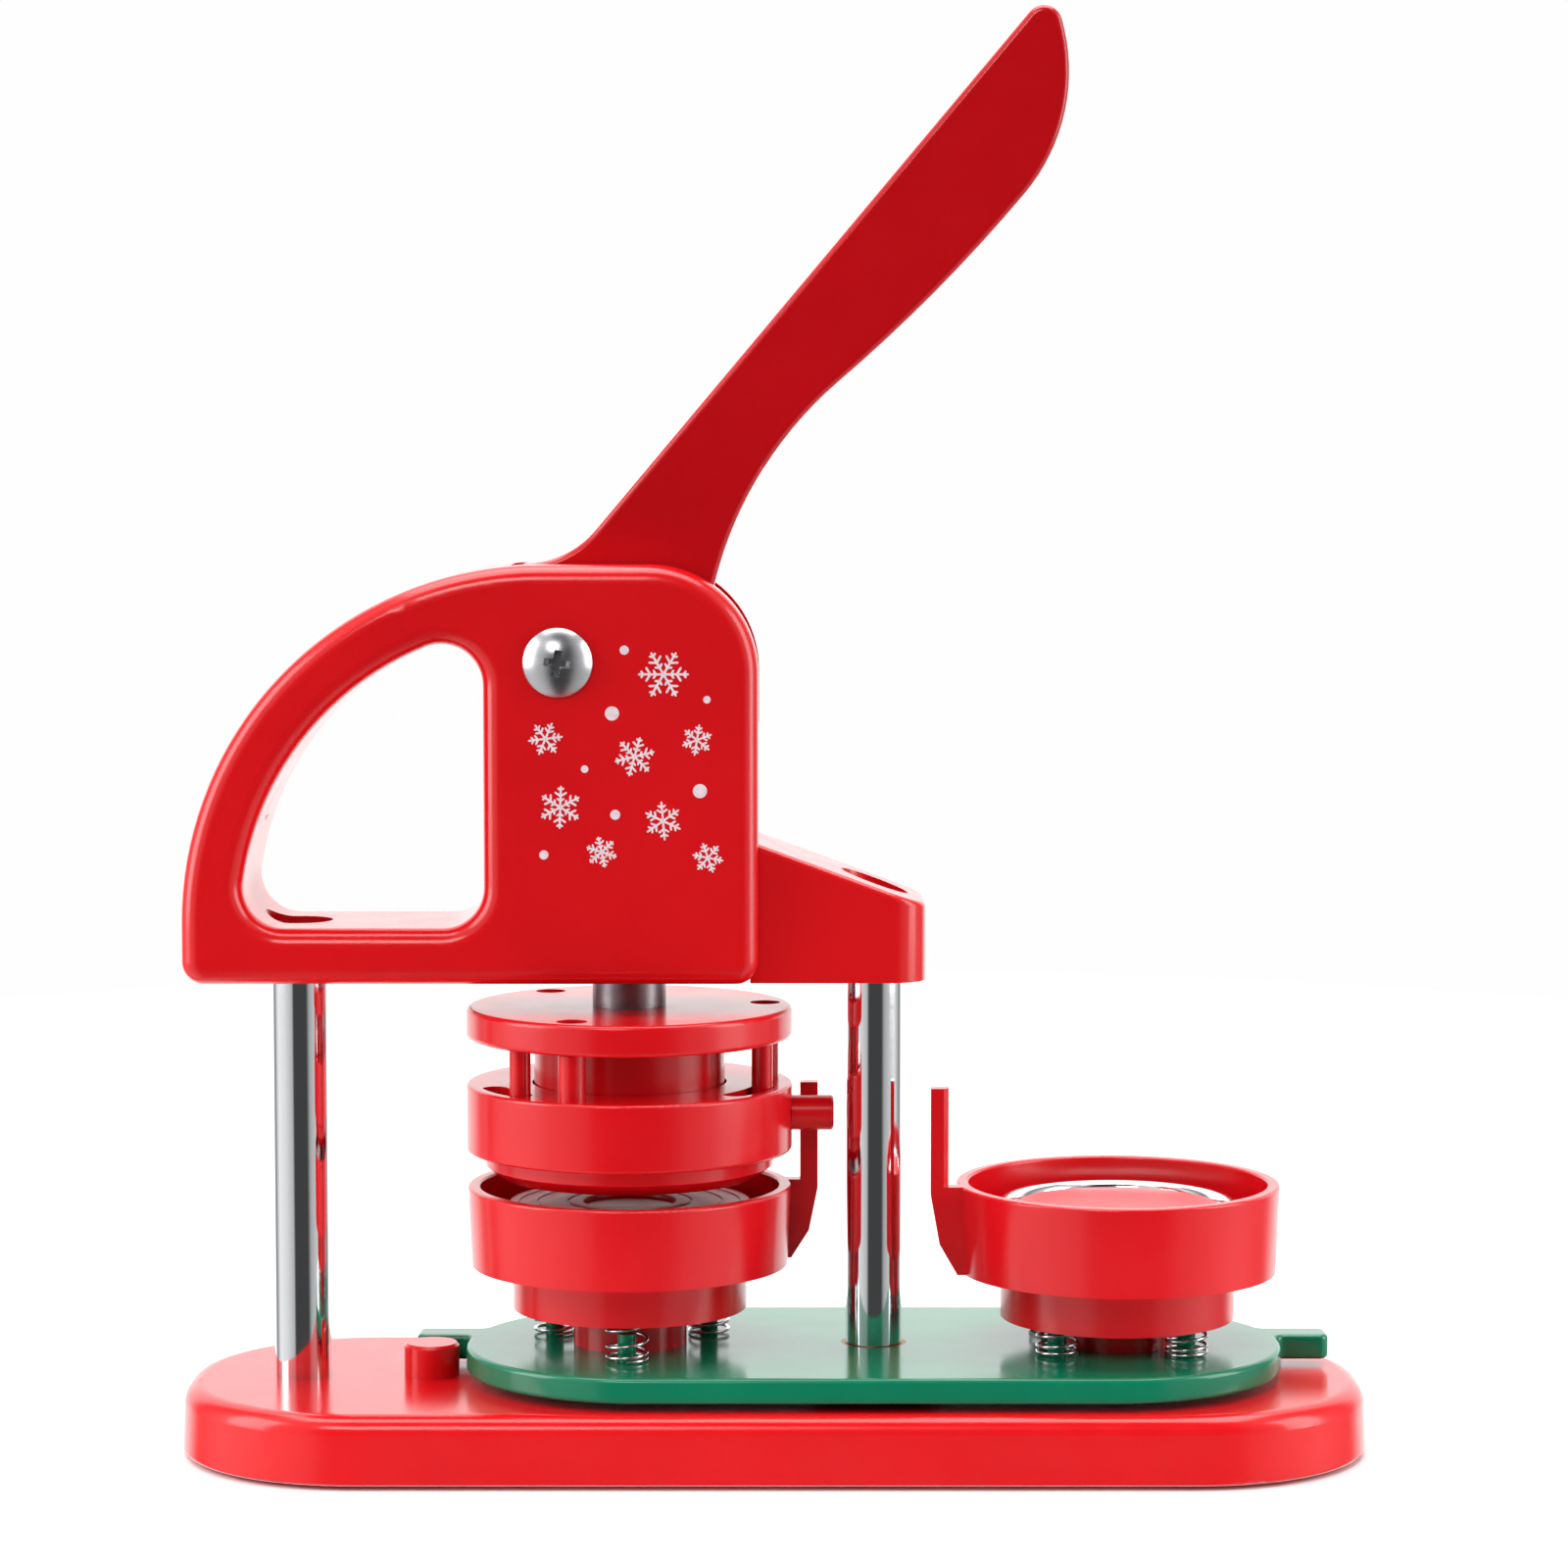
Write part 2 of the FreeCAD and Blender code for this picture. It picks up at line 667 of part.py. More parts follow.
def make_turntable():
    """Green turntable: a long plate with two stop tabs, spring pins and screw holes."""
    body = new_body("turntable")
    end = "(table_reach - table_radius)"
    outline = new_sketch(body, "table_outline", "XY_Plane")
    draw_outline(outline, [
        (f"-{end}", "-table_radius"),
        (end, "-table_radius", "table_radius", "left"),
        ("table_reach", "0", "table_radius", "left"),
        (end, "table_radius"),
        (f"-{end}", "table_radius", "table_radius", "left"),
        ("-table_reach", "0", "table_radius", "left"),
    ])
    pad(body, "table_plate", outline, "table_thick")
    front, back = "(stop_radius + tab_gap)", "(stop_radius + tab_gap + tab_width)"
    box(body, "Additive", "left_tab", "tab_reach - table_reach + tab_root", "tab_width", "table_thick",
        "-tab_reach", front)
    box(body, "Additive", "right_tab", "tab_reach - table_reach + tab_root", "tab_width", "table_thick",
        "table_reach - tab_root", front)
    corners = [(f"{side} * tab_reach", y) for side in (-1, 1) for y in (front, back)]
    near_plate = [
        (f"{side} * ({end} + sqrt(table_radius ^ 2 - {y} ^ 2))", y) for side in (-1, 1) for y in (front, back)
    ]
    spots = corners + near_plate
    round_edges(body, "tab_corners", "tab_round", lambda edge: any(upright_at(x, y)(edge) for x, y in spots))
    faces = lambda edge: (flat_at("table_thick")(edge) or flat_at("0")(edge)) and edge.Length > 1
    round_edges(body, "table_edge", "table_round", faces)
    for die, angles in (("-die_reach", PICKUP_ANGLES), ("die_reach", CRIMP_ANGLES)):
        for angle in angles:
            x, y = polar("spring_circle", angle)
            tag = f"{'a' if die[0] == '-' else 'b'}{angle % 360}"
            cylinder(body, "Additive", f"spring_pin_{tag}", "spring_pin", "table_thick + spring_pin_height",
                     f"{die} + {x}", y)
    cylinder(body, "Subtractive", "table_bush_hole", "journal_radius + running_fit + bush_wall",
             "table_thick")
    for index, die in enumerate(("-die_reach", "die_reach")):
        cylinder(body, "Subtractive", f"column_screw_hole{index}", "column_screw + slide_gap", "table_thick",
                 die)
        sink = body.newObject("PartDesign::SubtractiveCone", f"column_screw_sink{index}")
        bind(sink, {"Radius1": "column_screw_head", "Radius2": "column_screw", "Height": "column_screw"})
        place(sink, die)
    place(body, "pivot_x", 0, f"{BASE_TOP} + table_lift")


def make_pivot_fittings():
    """Bush pressed into the turntable and the thrust washer that it rides on."""
    tube("turntable_bush", "journal_radius + running_fit", "journal_radius + running_fit + bush_wall",
         "table_thick", "pivot_x", 0, f"{BASE_TOP} + table_lift")
    tube("thrust_washer", "journal_radius + washer_gap", "thrust_radius", "table_lift - slide_gap", "pivot_x",
         0, BASE_TOP)


def make_columns():
    """Fixed columns and pedestals that the cups float round, with the screws that hold them down."""
    stacks = {
        "pickup": ("-1 * die_reach", "pickup_neck_gap + pickup_neck + cup_floor + free_gap", PICKUP_RIM),
        "crimp": ("die_reach", "crimp_neck_gap + crimp_neck + cup_floor + free_gap", CRIMP_RIM),
    }
    screws = []
    for name, (offset, height, rim) in stacks.items():
        x = f"pivot_x + {offset}"
        column = new_body(name + "_column")
        cylinder(column, "Additive", name + "_column_post", "column_radius", height)
        cylinder(column, "Subtractive", name + "_column_bore", "column_screw + slide_gap", height)
        place(column, x, 0, TABLE_TOP)
        bottom = f"({TABLE_TOP} + {height})"
        top = f"({rim} - pedestal_sink)"
        pedestal = new_body(name + "_pedestal")
        if name == "pickup":
            revolve(pedestal, "pickup_pedestal_body", [
                ("0", "0"), ("pedestal_radius", "0"), ("pedestal_radius", f"{top} - {bottom}"),
                ("pedestal_dish", f"{top} - {bottom}"),
                ("pedestal_dish", f"{top} - {bottom} - pedestal_dish_depth"),
                ("0", f"{top} - {bottom} - pedestal_dish_depth"),
            ])
        else:
            seat = f"({top} - {bottom} - crimp_ring_height)"
            revolve(pedestal, "crimp_pedestal_body", [
                ("0", "0"), ("pedestal_radius", "0"), ("pedestal_radius", seat),
                ("crimp_ring_inner", seat), ("crimp_ring_inner", f"{seat} + crimp_seat_rise"),
                ("0", f"{seat} + crimp_seat_rise"),
            ])
            ring = tube("crimp_ring", "crimp_ring_inner", "pedestal_radius + crimp_ring_clear",
                        "crimp_ring_height",
                        x, 0, f"{bottom} + {seat}")
            rim_edges = lambda edge: flat_at("crimp_ring_height")(edge)
            round_edges(ring, "crimp_ring_crown", "crimp_ring_crown", rim_edges)
        cylinder(pedestal, "Subtractive", name + "_pedestal_thread", "column_screw", "column_grip + overrun")
        place(pedestal, x, 0, bottom)
        screw = new_body(name + "_column_screw", keep=False)
        shank = f"table_thick + {height} + column_grip"
        cylinder(screw, "Additive", name + "_screw_shank", "column_screw", shank)
        cone = screw.newObject("PartDesign::AdditiveCone", name + "_screw_head")
        bind(cone, {"Radius1": "column_screw_head", "Radius2": "column_screw", "Height": "column_screw"})
        for angle in ("0", "90"):
            groove = box(screw, "Subtractive", f"{name}_screw_cross{angle}", "column_screw_head",
                         "cross_width",
                         "cross_depth", "-column_screw_head / 2", "-cross_width / 2")
            if angle == "90":
                bind(groove, {"Length": "cross_width", "Width": "column_screw_head"})
                place(groove, "-cross_width / 2", "-column_screw_head / 2")
        place(screw, x, 0, f"{BASE_TOP} + table_lift")
        screws.append(screw)
    new_group("column_screws", screws)


def make_cup(name, neck, wall, neck_gap, well, angles, x, half_turn):
    """Floating die cup: drafted wall, floor, neck with spring pockets, and the arm that shifts the ring."""
    body = new_body(name)
    rim = f"({neck} + {wall})"
    revolve(body, name + "_body", [
        ("column_radius + 2 * running_fit", "0"),
        ("neck_radius", "0"),
        ("neck_radius", neck),
        ("cup_outer - cup_draft", neck),
        ("cup_outer", rim),
        ("cup_inner", rim),
        ("cup_inner", f"{neck} + cup_floor"),
        ("column_radius + 2 * running_fit", f"{neck} + cup_floor"),
    ])
    round_edges(body, name + "_rim", "cup_round", flat_at(rim))
    arm = new_sketch(body, name + "_arm_section", "XY_Plane", f"{rim} - overrun")
    outer_x, back_y = "(arm_inner + arm_width)", "(arm_front + arm_thick)"
    draw_outline(arm, [
        ("arm_inner", "arm_front"), (outer_x, "arm_front"), (outer_x, back_y),
        ("arm_inner + arm_chamfer", back_y), ("arm_inner", f"{back_y} - arm_chamfer"),
    ])
    pad(body, name + "_arm", arm, "arm_height + overrun")
    gusset = new_sketch(body, name + "_gusset_side", "XZ_Plane", f"-{back_y}")
    inside = "(cup_inner + arm_root)"
    draw_outline(gusset, [
        (inside, neck), ("cup_outer", neck), ("cup_outer + arm_width", f"{neck} + {wall} * gusset_toe_share"),
        (outer_x, f"{rim} - gusset_neck"), (outer_x, rim), (inside, rim),
    ])
    pad(body, name + "_gusset", gusset, "arm_thick")
    for angle in angles:
        pocket_x, pocket_y = polar("spring_circle", angle)
        cylinder(body, "Subtractive", f"{name}_pocket{angle % 360}", "spring_pocket", well, pocket_x,
                 pocket_y)
    if half_turn:
        body.Placement = FreeCAD.Placement(FreeCAD.Vector(), FreeCAD.Rotation(FreeCAD.Vector(0, 0, 1), 180))
    place(body, x, 0, f"{TABLE_TOP} + {neck_gap}")


def coil(name, mean_radius, wire, length, turns):
    """Helical spring standing on its Z axis. Its wire runs straight between the corners of each turn."""
    corners = 16
    radius, wire_radius = number(mean_radius), number(wire)
    rise = (number(length) - 2 * wire_radius) / (corners * number(turns))
    points = []
    for corner in range(corners * int(number(turns)) + 1):
        angle = 2 * math.pi * corner / corners
        points.append(FreeCAD.Vector(radius * math.cos(angle), radius * math.sin(angle), rise * corner))
    section = Part.Wire(Part.makeCircle(wire_radius, points[0], points[1] - points[0]))
    sweep = Part.BRepOffsetAPI.MakePipeShell(Part.makePolygon(points))
    sweep.setTransitionMode(1)
    sweep.add(section, False, False)
    sweep.build()
    sweep.makeSolid()
    spring = doc.addObject("Part::Feature", name)
    spring.Shape = sweep.shape()
    return spring


def make_die_springs(name, angles, neck_gap, well, x, turns):
    """Springs that push one cup up, each round its pin."""
    springs = []
    for angle in angles:
        spring = coil(f"{name}{angle % 360}", "spring_coil", "spring_wire", f"({neck_gap} + {well})", turns)
        spring_x, spring_y = polar("spring_circle", angle)
        place(spring, f"{x} + {spring_x}", spring_y, f"{TABLE_TOP} + spring_wire")
        springs.append(spring)
    new_group(name, springs)


def make_upper_ring():
    """Ring of the upper die: it hangs round the punch, with a lip below, three posts and three slots."""
    body = new_body("upper_ring")
    lip = "lip_depth"
    revolve(body, "ring_body", [
        ("hub_radius + post_gap", f"{lip} + ring_height - web_thick"),
        ("ring_bore", f"{lip} + ring_height - web_thick"),
        ("ring_bore", "0"),
        ("lip_edge", "0"),
        ("lip_outer", f"{lip} - lip_straight"),
        ("lip_outer", lip),
        ("ring_outer", lip),
        ("ring_outer", f"{lip} + ring_height"),
        ("hub_radius + post_gap", f"{lip} + ring_height"),
    ])
    wide = lambda edge: edge.BoundBox.XMax > number("ring_outer") - 0.01 and edge.Length > 100
    round_edges(body, "ring_edges", "ring_round", wide)
    slot = new_sketch(body, "pin_slots", "XY_Plane", f"{lip} + ring_height")
    half = "(pin_radius + pin_slot_gap)"
    outer, inner = f"(pin_circle + {half})", f"(pin_circle - {half})"
    for third in THIRDS:
        start, end = f"(pin_angle + {third} - ring_twist)", f"(pin_angle + {third})"
        draw_outline(slot, [
            (*polar(outer, start), outer, "left"),
            (*polar(outer, end), half, "left"),
            (f"pin_circle * cos({end}) - {half} * sin({end})",
             f"pin_circle * sin({end}) + {half} * cos({end})",
             half, "left"),
            (*polar(inner, end), inner, "right"),
            (*polar(inner, start), half, "left"),
            (f"pin_circle * cos({start}) + {half} * sin({start})",
             f"pin_circle * sin({start}) - {half} * cos({start})", half, "left"),
        ])
    pocket(body, "pin_slot_cuts", slot, "pin_slot_depth")
    for third in THIRDS:
        x, y = polar("post_circle", f"(post_angle + {third})")
        cylinder(body, "Additive", f"ring_post{third}", "post_radius", "overrun + plate_rise - post_gap",
                 x, y, f"{lip} + ring_height - overrun")
    cylinder(body, "Subtractive", "peg_hole", "peg_spigot", "peg_spigot_length + overrun",
             "peg_root - peg_spigot_length", 0, f"{lip} + ring_height - peg_drop", "x")
    cylinder(body, "Subtractive", "peg_face", "peg_radius", PEG_LENGTH, "peg_root", 0,
             f"{lip} + ring_height - peg_drop", "x")
    place(body, RAM_X, 0, f"{RING_BOTTOM} - lip_depth")


def make_ring_peg():
    """Peg that the cup arms push to twist the ring."""
    body = new_body("ring_peg")
    cylinder(body, "Additive", "peg_body", "peg_radius", PEG_LENGTH, axis="x")
    tip = lambda edge: abs(edge.CenterOfMass.x - number(PEG_LENGTH)) < 1e-4
    round_edges(body, "peg_end", "peg_chamfer", tip, "Chamfer")
    cylinder(body, "Additive", "peg_shank", "peg_spigot", "peg_spigot_length + overrun", "-peg_spigot_length",
             axis="x")
    place(body, f"{RAM_X} + peg_root", 0, f"{RING_TOP} - peg_drop")


def make_press_plate():
    """Round plate on the end of the ram, with holes for the ring's posts and three pins in its slots."""
    body = new_body("press_plate")
    cylinder(body, "Additive", "plate_disc", "plate_outer", "plate_thick")
    round_edges(body, "plate_edges", "plate_round", lambda edge: edge.Length > 100)
    for third in THIRDS:
        x, y = polar("pin_circle", f"(pin_angle + {third})")
        cylinder(body, "Additive", f"plate_pin{third}", "pin_radius", "plate_rise + pin_entry + overrun", x,
                 y,
                 "overrun", "-z")
        x, y = polar("post_circle", f"(post_angle + {third})")
        cylinder(body, "Subtractive", f"plate_hole{third}", "post_hole", "plate_thick", x, y)
    cylinder(body, "Subtractive", "plate_bolt_hole", "big_screw + free_gap", "plate_thick")
    cylinder(body, "Subtractive", "plate_ram_seat", "ram_radius + press_fit", "ram_seat",
             z="plate_thick - ram_seat")
    place(body, RAM_X, 0, PLATE_BOTTOM)


def make_punch():
    """Hub and disc that press the badge, inside the ring."""
    body = new_body("punch")
    step = f"({WEB_BOTTOM} - free_gap - {PUNCH_BOTTOM})"
    well = "(big_head_height + punch_floor)"
    revolve(body, "punch_body", [
        ("big_screw + free_gap", well),
        ("big_head + free_gap", well),
        ("big_head + free_gap", "0"),
        ("punch_radius", "0"),
        ("punch_radius", step),
        ("hub_radius", step),
        ("hub_radius", f"{PLATE_BOTTOM} - {PUNCH_BOTTOM}"),
        ("big_screw + free_gap", f"{PLATE_BOTTOM} - {PUNCH_BOTTOM}"),
    ])
    place(body, RAM_X, 0, PUNCH_BOTTOM)
    seat = f"({PUNCH_BOTTOM} + {well})"
    cap_screw("ram_bolt", "big_screw", "big_head", "big_head_height",
              f"{PLATE_TOP} - ram_seat - {seat} + screw_grip", RAM_X, 0, seat)


def make_ram():
    """Steel ram, its guide bush, and the return spring held by a collar and a clip."""
    bottom = f"({PLATE_TOP} - ram_seat)"
    clip_z = f"({COLLAR_TOP} - {bottom})"
    ram = new_body("ram_shaft")
    cylinder(ram, "Additive", "ram_body", "ram_radius", f"{RAM_TOP} - {bottom}")
    round_edges(ram, "ram_end", "ram_chamfer", flat_at(f"{RAM_TOP} - {bottom}"), "Chamfer")
    groove = new_sketch(ram, "clip_groove_side", "XZ_Plane")
    draw_outline(groove, [
        ("ram_radius - clip_groove", clip_z), ("ram_radius + overrun", clip_z),
        ("ram_radius + overrun", f"{clip_z} + clip_thick"), ("ram_radius - clip_groove",
                                                             f"{clip_z} + clip_thick"),
    ])
    cut = ram.newObject("PartDesign::Groove", "clip_groove_cut")
    cut.Profile = groove
    cut.ReferenceAxis = (groove, ["V_Axis"])
    cut.Angle = 360
    cylinder(ram, "Subtractive", "ram_thread", "big_screw", "screw_grip + thread_run_out")
    place(ram, RAM_X, 0, bottom)

    bush = new_body("ram_bush")
    cylinder(bush, "Additive", "ram_bush_body", BUSH_OUTER, "bush_length + bush_flange_thick")
    cylinder(bush, "Additive", "ram_bush_flange", f"{BUSH_OUTER} + bush_flange_rim", "bush_flange_thick",
             z="bush_length")
    cylinder(bush, "Subtractive", "ram_bush_bore", "ram_radius + running_fit",
             "bush_length + bush_flange_thick")
    place(bush, RAM_X, 0, f"{HOUSING_BOTTOM} + bush_lip")

    tube("spring_collar", "ram_radius + running_fit", "ram_radius + collar_rim",
         "collar_thick",
         RAM_X, 0, f"{COLLAR_TOP} - collar_thick")
    clip = tube("retaining_ring", "ram_radius - clip_groove + press_fit", "ram_radius + clip_rim",
                "clip_thick",
                RAM_X, 0, COLLAR_TOP)
    box(clip, "Subtractive", "clip_mouth", "ram_radius + clip_rim + overrun", "ram_radius", "clip_thick", 0,
        "-ram_radius / 2")
    gap = f"({COLLAR_TOP} - collar_thick - {BUSH_TOP})"
    spring = coil("return_spring", "ram_radius + return_gap + return_wire", "return_wire", gap,
                  "return_turns")
    place(spring, RAM_X, 0, f"{BUSH_TOP} + return_wire")
    sub_parts.append(spring)


def shell_screw_places():
    """Places in the X, Z plane of the screws that join the two shells."""
    middle = "(arch_radius - arch_band / 2)"
    on_arch = [
        (f"{ARCH_X} + {middle} * cos({angle})",
         f"{ARCH_Z} + {middle} * sin({angle})") for angle in ARCH_SCREW_ANGLES
    ]
    return on_arch + [
        (f"{HOUSING_LEFT} + shell_screw_inset", f"{HOUSING_BOTTOM} + opening_rise / 2"),
        (f"{HOUSING_RIGHT} - shell_screw_inset", f"{HOUSING_BOTTOM} + opening_rise / 2"),
        (f"{HOUSING_RIGHT} - shell_screw_inset", f"{LEVER_Z} - slot_drop - shell_screw_inset * 2"),
        (f"{OPENING_RIGHT} + shell_screw_inset", f"{HOUSING_BOTTOM} + bush_length * 2"),
    ]


def make_shell(name, side):
    """One half of the housing; side is -1 at the front and 1 at the back. The halves meet at Y = 0."""
    body = new_body(name)
    back = side > 0
    outward = "y" if back else "-y"

    def at(distance):
        return f"{side} * ({distance})"

    block = new_sketch(body, name + "_outline", "XZ_Plane")
    draw_outline(block, [
        (f"{HOUSING_LEFT} + corner_round", HOUSING_BOTTOM),
        (f"{HOUSING_RIGHT} - corner_round", HOUSING_BOTTOM, "corner_round", "left"),
        (HOUSING_RIGHT, f"{HOUSING_BOTTOM} + corner_round"),
        (HOUSING_RIGHT, f"{HOUSING_TOP} - block_round", "block_round", "left"),
        (f"{HOUSING_RIGHT} - block_round", HOUSING_TOP),
        (ARCH_X, HOUSING_TOP, "arch_radius", "left"),
        (HOUSING_LEFT, ARCH_Z),
        (HOUSING_LEFT, f"{HOUSING_BOTTOM} + corner_round", "corner_round", "left"),
    ])
    pad(body, name + "_block", block, "shell_depth", Reversed=back)

    inner = f"({OPENING_RADIUS} - opening_round)"
    low_rise = f"({OPENING_FLOOR} + opening_round - {ARCH_Z})"
    low_reach = f"sqrt({inner} ^ 2 - {low_rise} ^ 2)"
    high_reach = "(opening_offset - arch_offset + opening_round)"
    high_rise = f"sqrt({inner} ^ 2 - {high_reach} ^ 2)"
    scale = f"({OPENING_RADIUS} / {inner})"
    opening = new_sketch(body, name + "_opening_outline", "XZ_Plane")
    draw_outline(opening, [
        (f"{ARCH_X} - {low_reach}", OPENING_FLOOR),
        (f"{OPENING_RIGHT} - opening_round", OPENING_FLOOR, "opening_round", "left"),
        (OPENING_RIGHT, f"{OPENING_FLOOR} + opening_round"),
        (OPENING_RIGHT, f"{ARCH_Z} + {high_rise}", "opening_round", "left"),
        (f"{ARCH_X} - {high_reach} * {scale}", f"{ARCH_Z} + {high_rise} * {scale}", OPENING_RADIUS, "left"),
        (f"{ARCH_X} - {low_reach} * {scale}", f"{ARCH_Z} + {low_rise} * {scale}", "opening_round", "left"),
    ])
    pocket(body, name + "_opening", opening, "shell_depth", Reversed=not back)
    outer_face = lambda edge: abs(edge.BoundBox.YMin - side * number("shell_depth")) < 1e-4 \
        and abs(edge.BoundBox.YMax - side * number("shell_depth")) < 1e-4
    round_edges(body, name + "_round", "shell_round", outer_face)

    wing = new_sketch(body, name + "_wing_side", "XZ_Plane")
    root = f"({HOUSING_RIGHT} - 2)"
    draw_outline(wing, [
        (root, HOUSING_BOTTOM), (WING_END, HOUSING_BOTTOM), (WING_END, f"{HOUSING_BOTTOM} + wing_low"),
        (root, f"{HOUSING_BOTTOM} + wing_high"),
    ])
    pad(body, name + "_wing", wing, "wing_depth", Reversed=back)
    round_edges(body, name + "_wing_corner", "wing_round", upright_at(WING_END, f"{side} * wing_depth"))
    end_x = number(HOUSING_RIGHT)
    end_y = number("wing_depth")

    def wing_rim(edge):
        bounds = edge.BoundBox
        if bounds.XMin < end_x - 0.5 or bounds.XMax > number(WING_END) + 0.01 or edge.Length < 4:
            return False
        sloping = bounds.ZMin > number(HOUSING_BOTTOM) + 10 and bounds.ZMax - bounds.ZMin < 20
        middle = edge.CenterOfMass
        on_wall = abs(abs(middle.y) - end_y) < 6 or middle.x > number(WING_END) - 0.5
        return sloping and on_wall and edge.BoundBox.DiagonalLength > 3

    round_edges(body, name + "_wing_edge", "wing_edge", wing_rim)

    cavity = new_sketch(body, name + "_cavity_outline", "XZ_Plane")
    left, right = f"({OPENING_RIGHT} + shell_wall)", f"({HOUSING_RIGHT} - shell_wall)"
    low, high = f"({BUSH_TOP} - bush_flange_thick)", f"({HOUSING_TOP} - shell_wall)"
    draw_outline(cavity, [
        (left, low), (right, low), (right, f"{HOUSING_TOP} - block_round", "block_round - shell_wall",
                                    "left"),
        (f"{HOUSING_RIGHT} - block_round", high), (left, high),
    ])
    pocket(body, name + "_cavity", cavity, "shell_depth - shell_wall", Reversed=not back)
    core = new_sketch(body, name + "_arch_core", "XZ_Plane")
    rim_in, rim_out = f"({OPENING_RADIUS} + shell_wall)", "(arch_radius - shell_wall)"
    first, last = ARCH_HOLLOW_ANGLES

    def on_core(radius, angle):
        x, z = polar(radius, angle)
        return f"{ARCH_X} + {x}", f"{ARCH_Z} + {z}"

    draw_outline(core, [
        (*on_core(rim_out, first), rim_out, "left"), on_core(rim_out, last),
        (*on_core(rim_in, last), rim_in, "right"), on_core(rim_in, first),
    ])
    pocket(body, name + "_arch_hollow", core, "shell_depth - shell_wall", Reversed=not back)

    for index, (x, z) in enumerate(shell_screw_places()):
        cylinder(body, "Additive", f"{name}_screw_boss{index}", "shell_boss", "shell_depth - overrun", x, 0,
                 z, outward)
    cylinder(body, "Additive", name + "_pivot_boss", "pivot_boss",
             f"shell_depth - overrun - {SPACER_OUTSIDE}", LEVER_X, at(SPACER_OUTSIDE), LEVER_Z, outward)
    for x in ("left_rod_x", "pivot_x"):
        tag = x[:5].strip("_")
        cylinder(body, "Additive", f"{name}_{tag}_collar", "rod_radius + rod_collar_wall",
                 "rod_collar_height + overrun",
                 x, 0, f"{HOUSING_BOTTOM} - rod_collar_height")
        cylinder(body, "Subtractive", f"{name}_{tag}_socket", "rod_radius + press_fit",
                 "rod_top_seat + rod_collar_height", x, 0, f"{HOUSING_BOTTOM} - rod_collar_height")
        cylinder(body, "Subtractive", f"{name}_{tag}_screw_hole", "big_screw + free_gap",
                 "rod_top_seat + rod_cap + overrun", x, 0, HOUSING_BOTTOM)
        cylinder(body, "Subtractive", f"{name}_{tag}_access", "access_hole", "wing_high", x, 0, BOLT_SEAT)
    cylinder(body, "Subtractive", name + "_ram_hole", "ram_radius + free_gap", "bush_lip + overrun", RAM_X, 0,
             HOUSING_BOTTOM)
    cylinder(body, "Subtractive", name + "_bush_seat", f"{BUSH_OUTER} + press_fit", "bush_length + overrun",
             RAM_X, 0, f"{HOUSING_BOTTOM} + bush_lip")

    box(body, "Subtractive", name + "_lever_slot", f"{HOUSING_RIGHT} - {SLOT_LEFT} + 1",
        "2 * (lever_half + slot_gap)", "lever_rise", SLOT_LEFT, "-(lever_half + slot_gap)",
        f"{LEVER_Z} - slot_drop")
    sleeve_end = f"({SPACER_OUTSIDE} + sleeve_reach)"
    cylinder(body, "Subtractive", name + "_pivot_hole", "big_screw + free_gap", "shell_depth",
             LEVER_X, 0, LEVER_Z, outward)
    cylinder(body, "Subtractive", name + "_sleeve_seat", "sleeve_radius + press_fit", sleeve_end,
             LEVER_X, 0, LEVER_Z, outward)
    for index, (x, z) in enumerate(shell_screw_places()):
        if back:
            cylinder(body, "Subtractive", f"{name}_screw_way{index}", "shell_screw + washer_gap",
                     "shell_depth",
                     x, 0, z, outward)
            cylinder(body, "Subtractive", f"{name}_screw_well{index}", "shell_screw_head + free_gap",
                     "shell_screw_sink",
                     x, at("shell_depth - shell_screw_sink"), z, outward)
        else:
            cylinder(body, "Subtractive", f"{name}_screw_hole{index}", "shell_screw",
                     "shell_depth - shell_screw_end + overrun",
                     x, 0, z, outward)
    if back:
        cylinder(body, "Subtractive", name + "_nut_well", "nut_well", "nut_sink + overrun", LEVER_X,
                 at("shell_depth - nut_sink"), LEVER_Z, outward)
    span = "(2 * arch_radius + 2 * die_reach)"
    box(body, "Subtractive", name + "_parting", span, "shell_depth + 1", span,
        f"{HOUSING_LEFT} - 5", f"-(shell_depth + 1)" if back else "0", f"{HOUSING_BOTTOM} - 10")


def make_shell_screws():
    """Screws that join the two shells from the back."""
    screws = []
    for index, (x, z) in enumerate(shell_screw_places()):
        screws.append(cap_screw(f"shell_screw{index}", "shell_screw", "shell_screw_head",
                                "shell_screw_head_height", "2 * shell_depth - shell_screw_sink - shell_screw_end",
                                x, "shell_depth - shell_screw_sink", z, "-y", keep=False))
    new_group("housing_screws", screws)


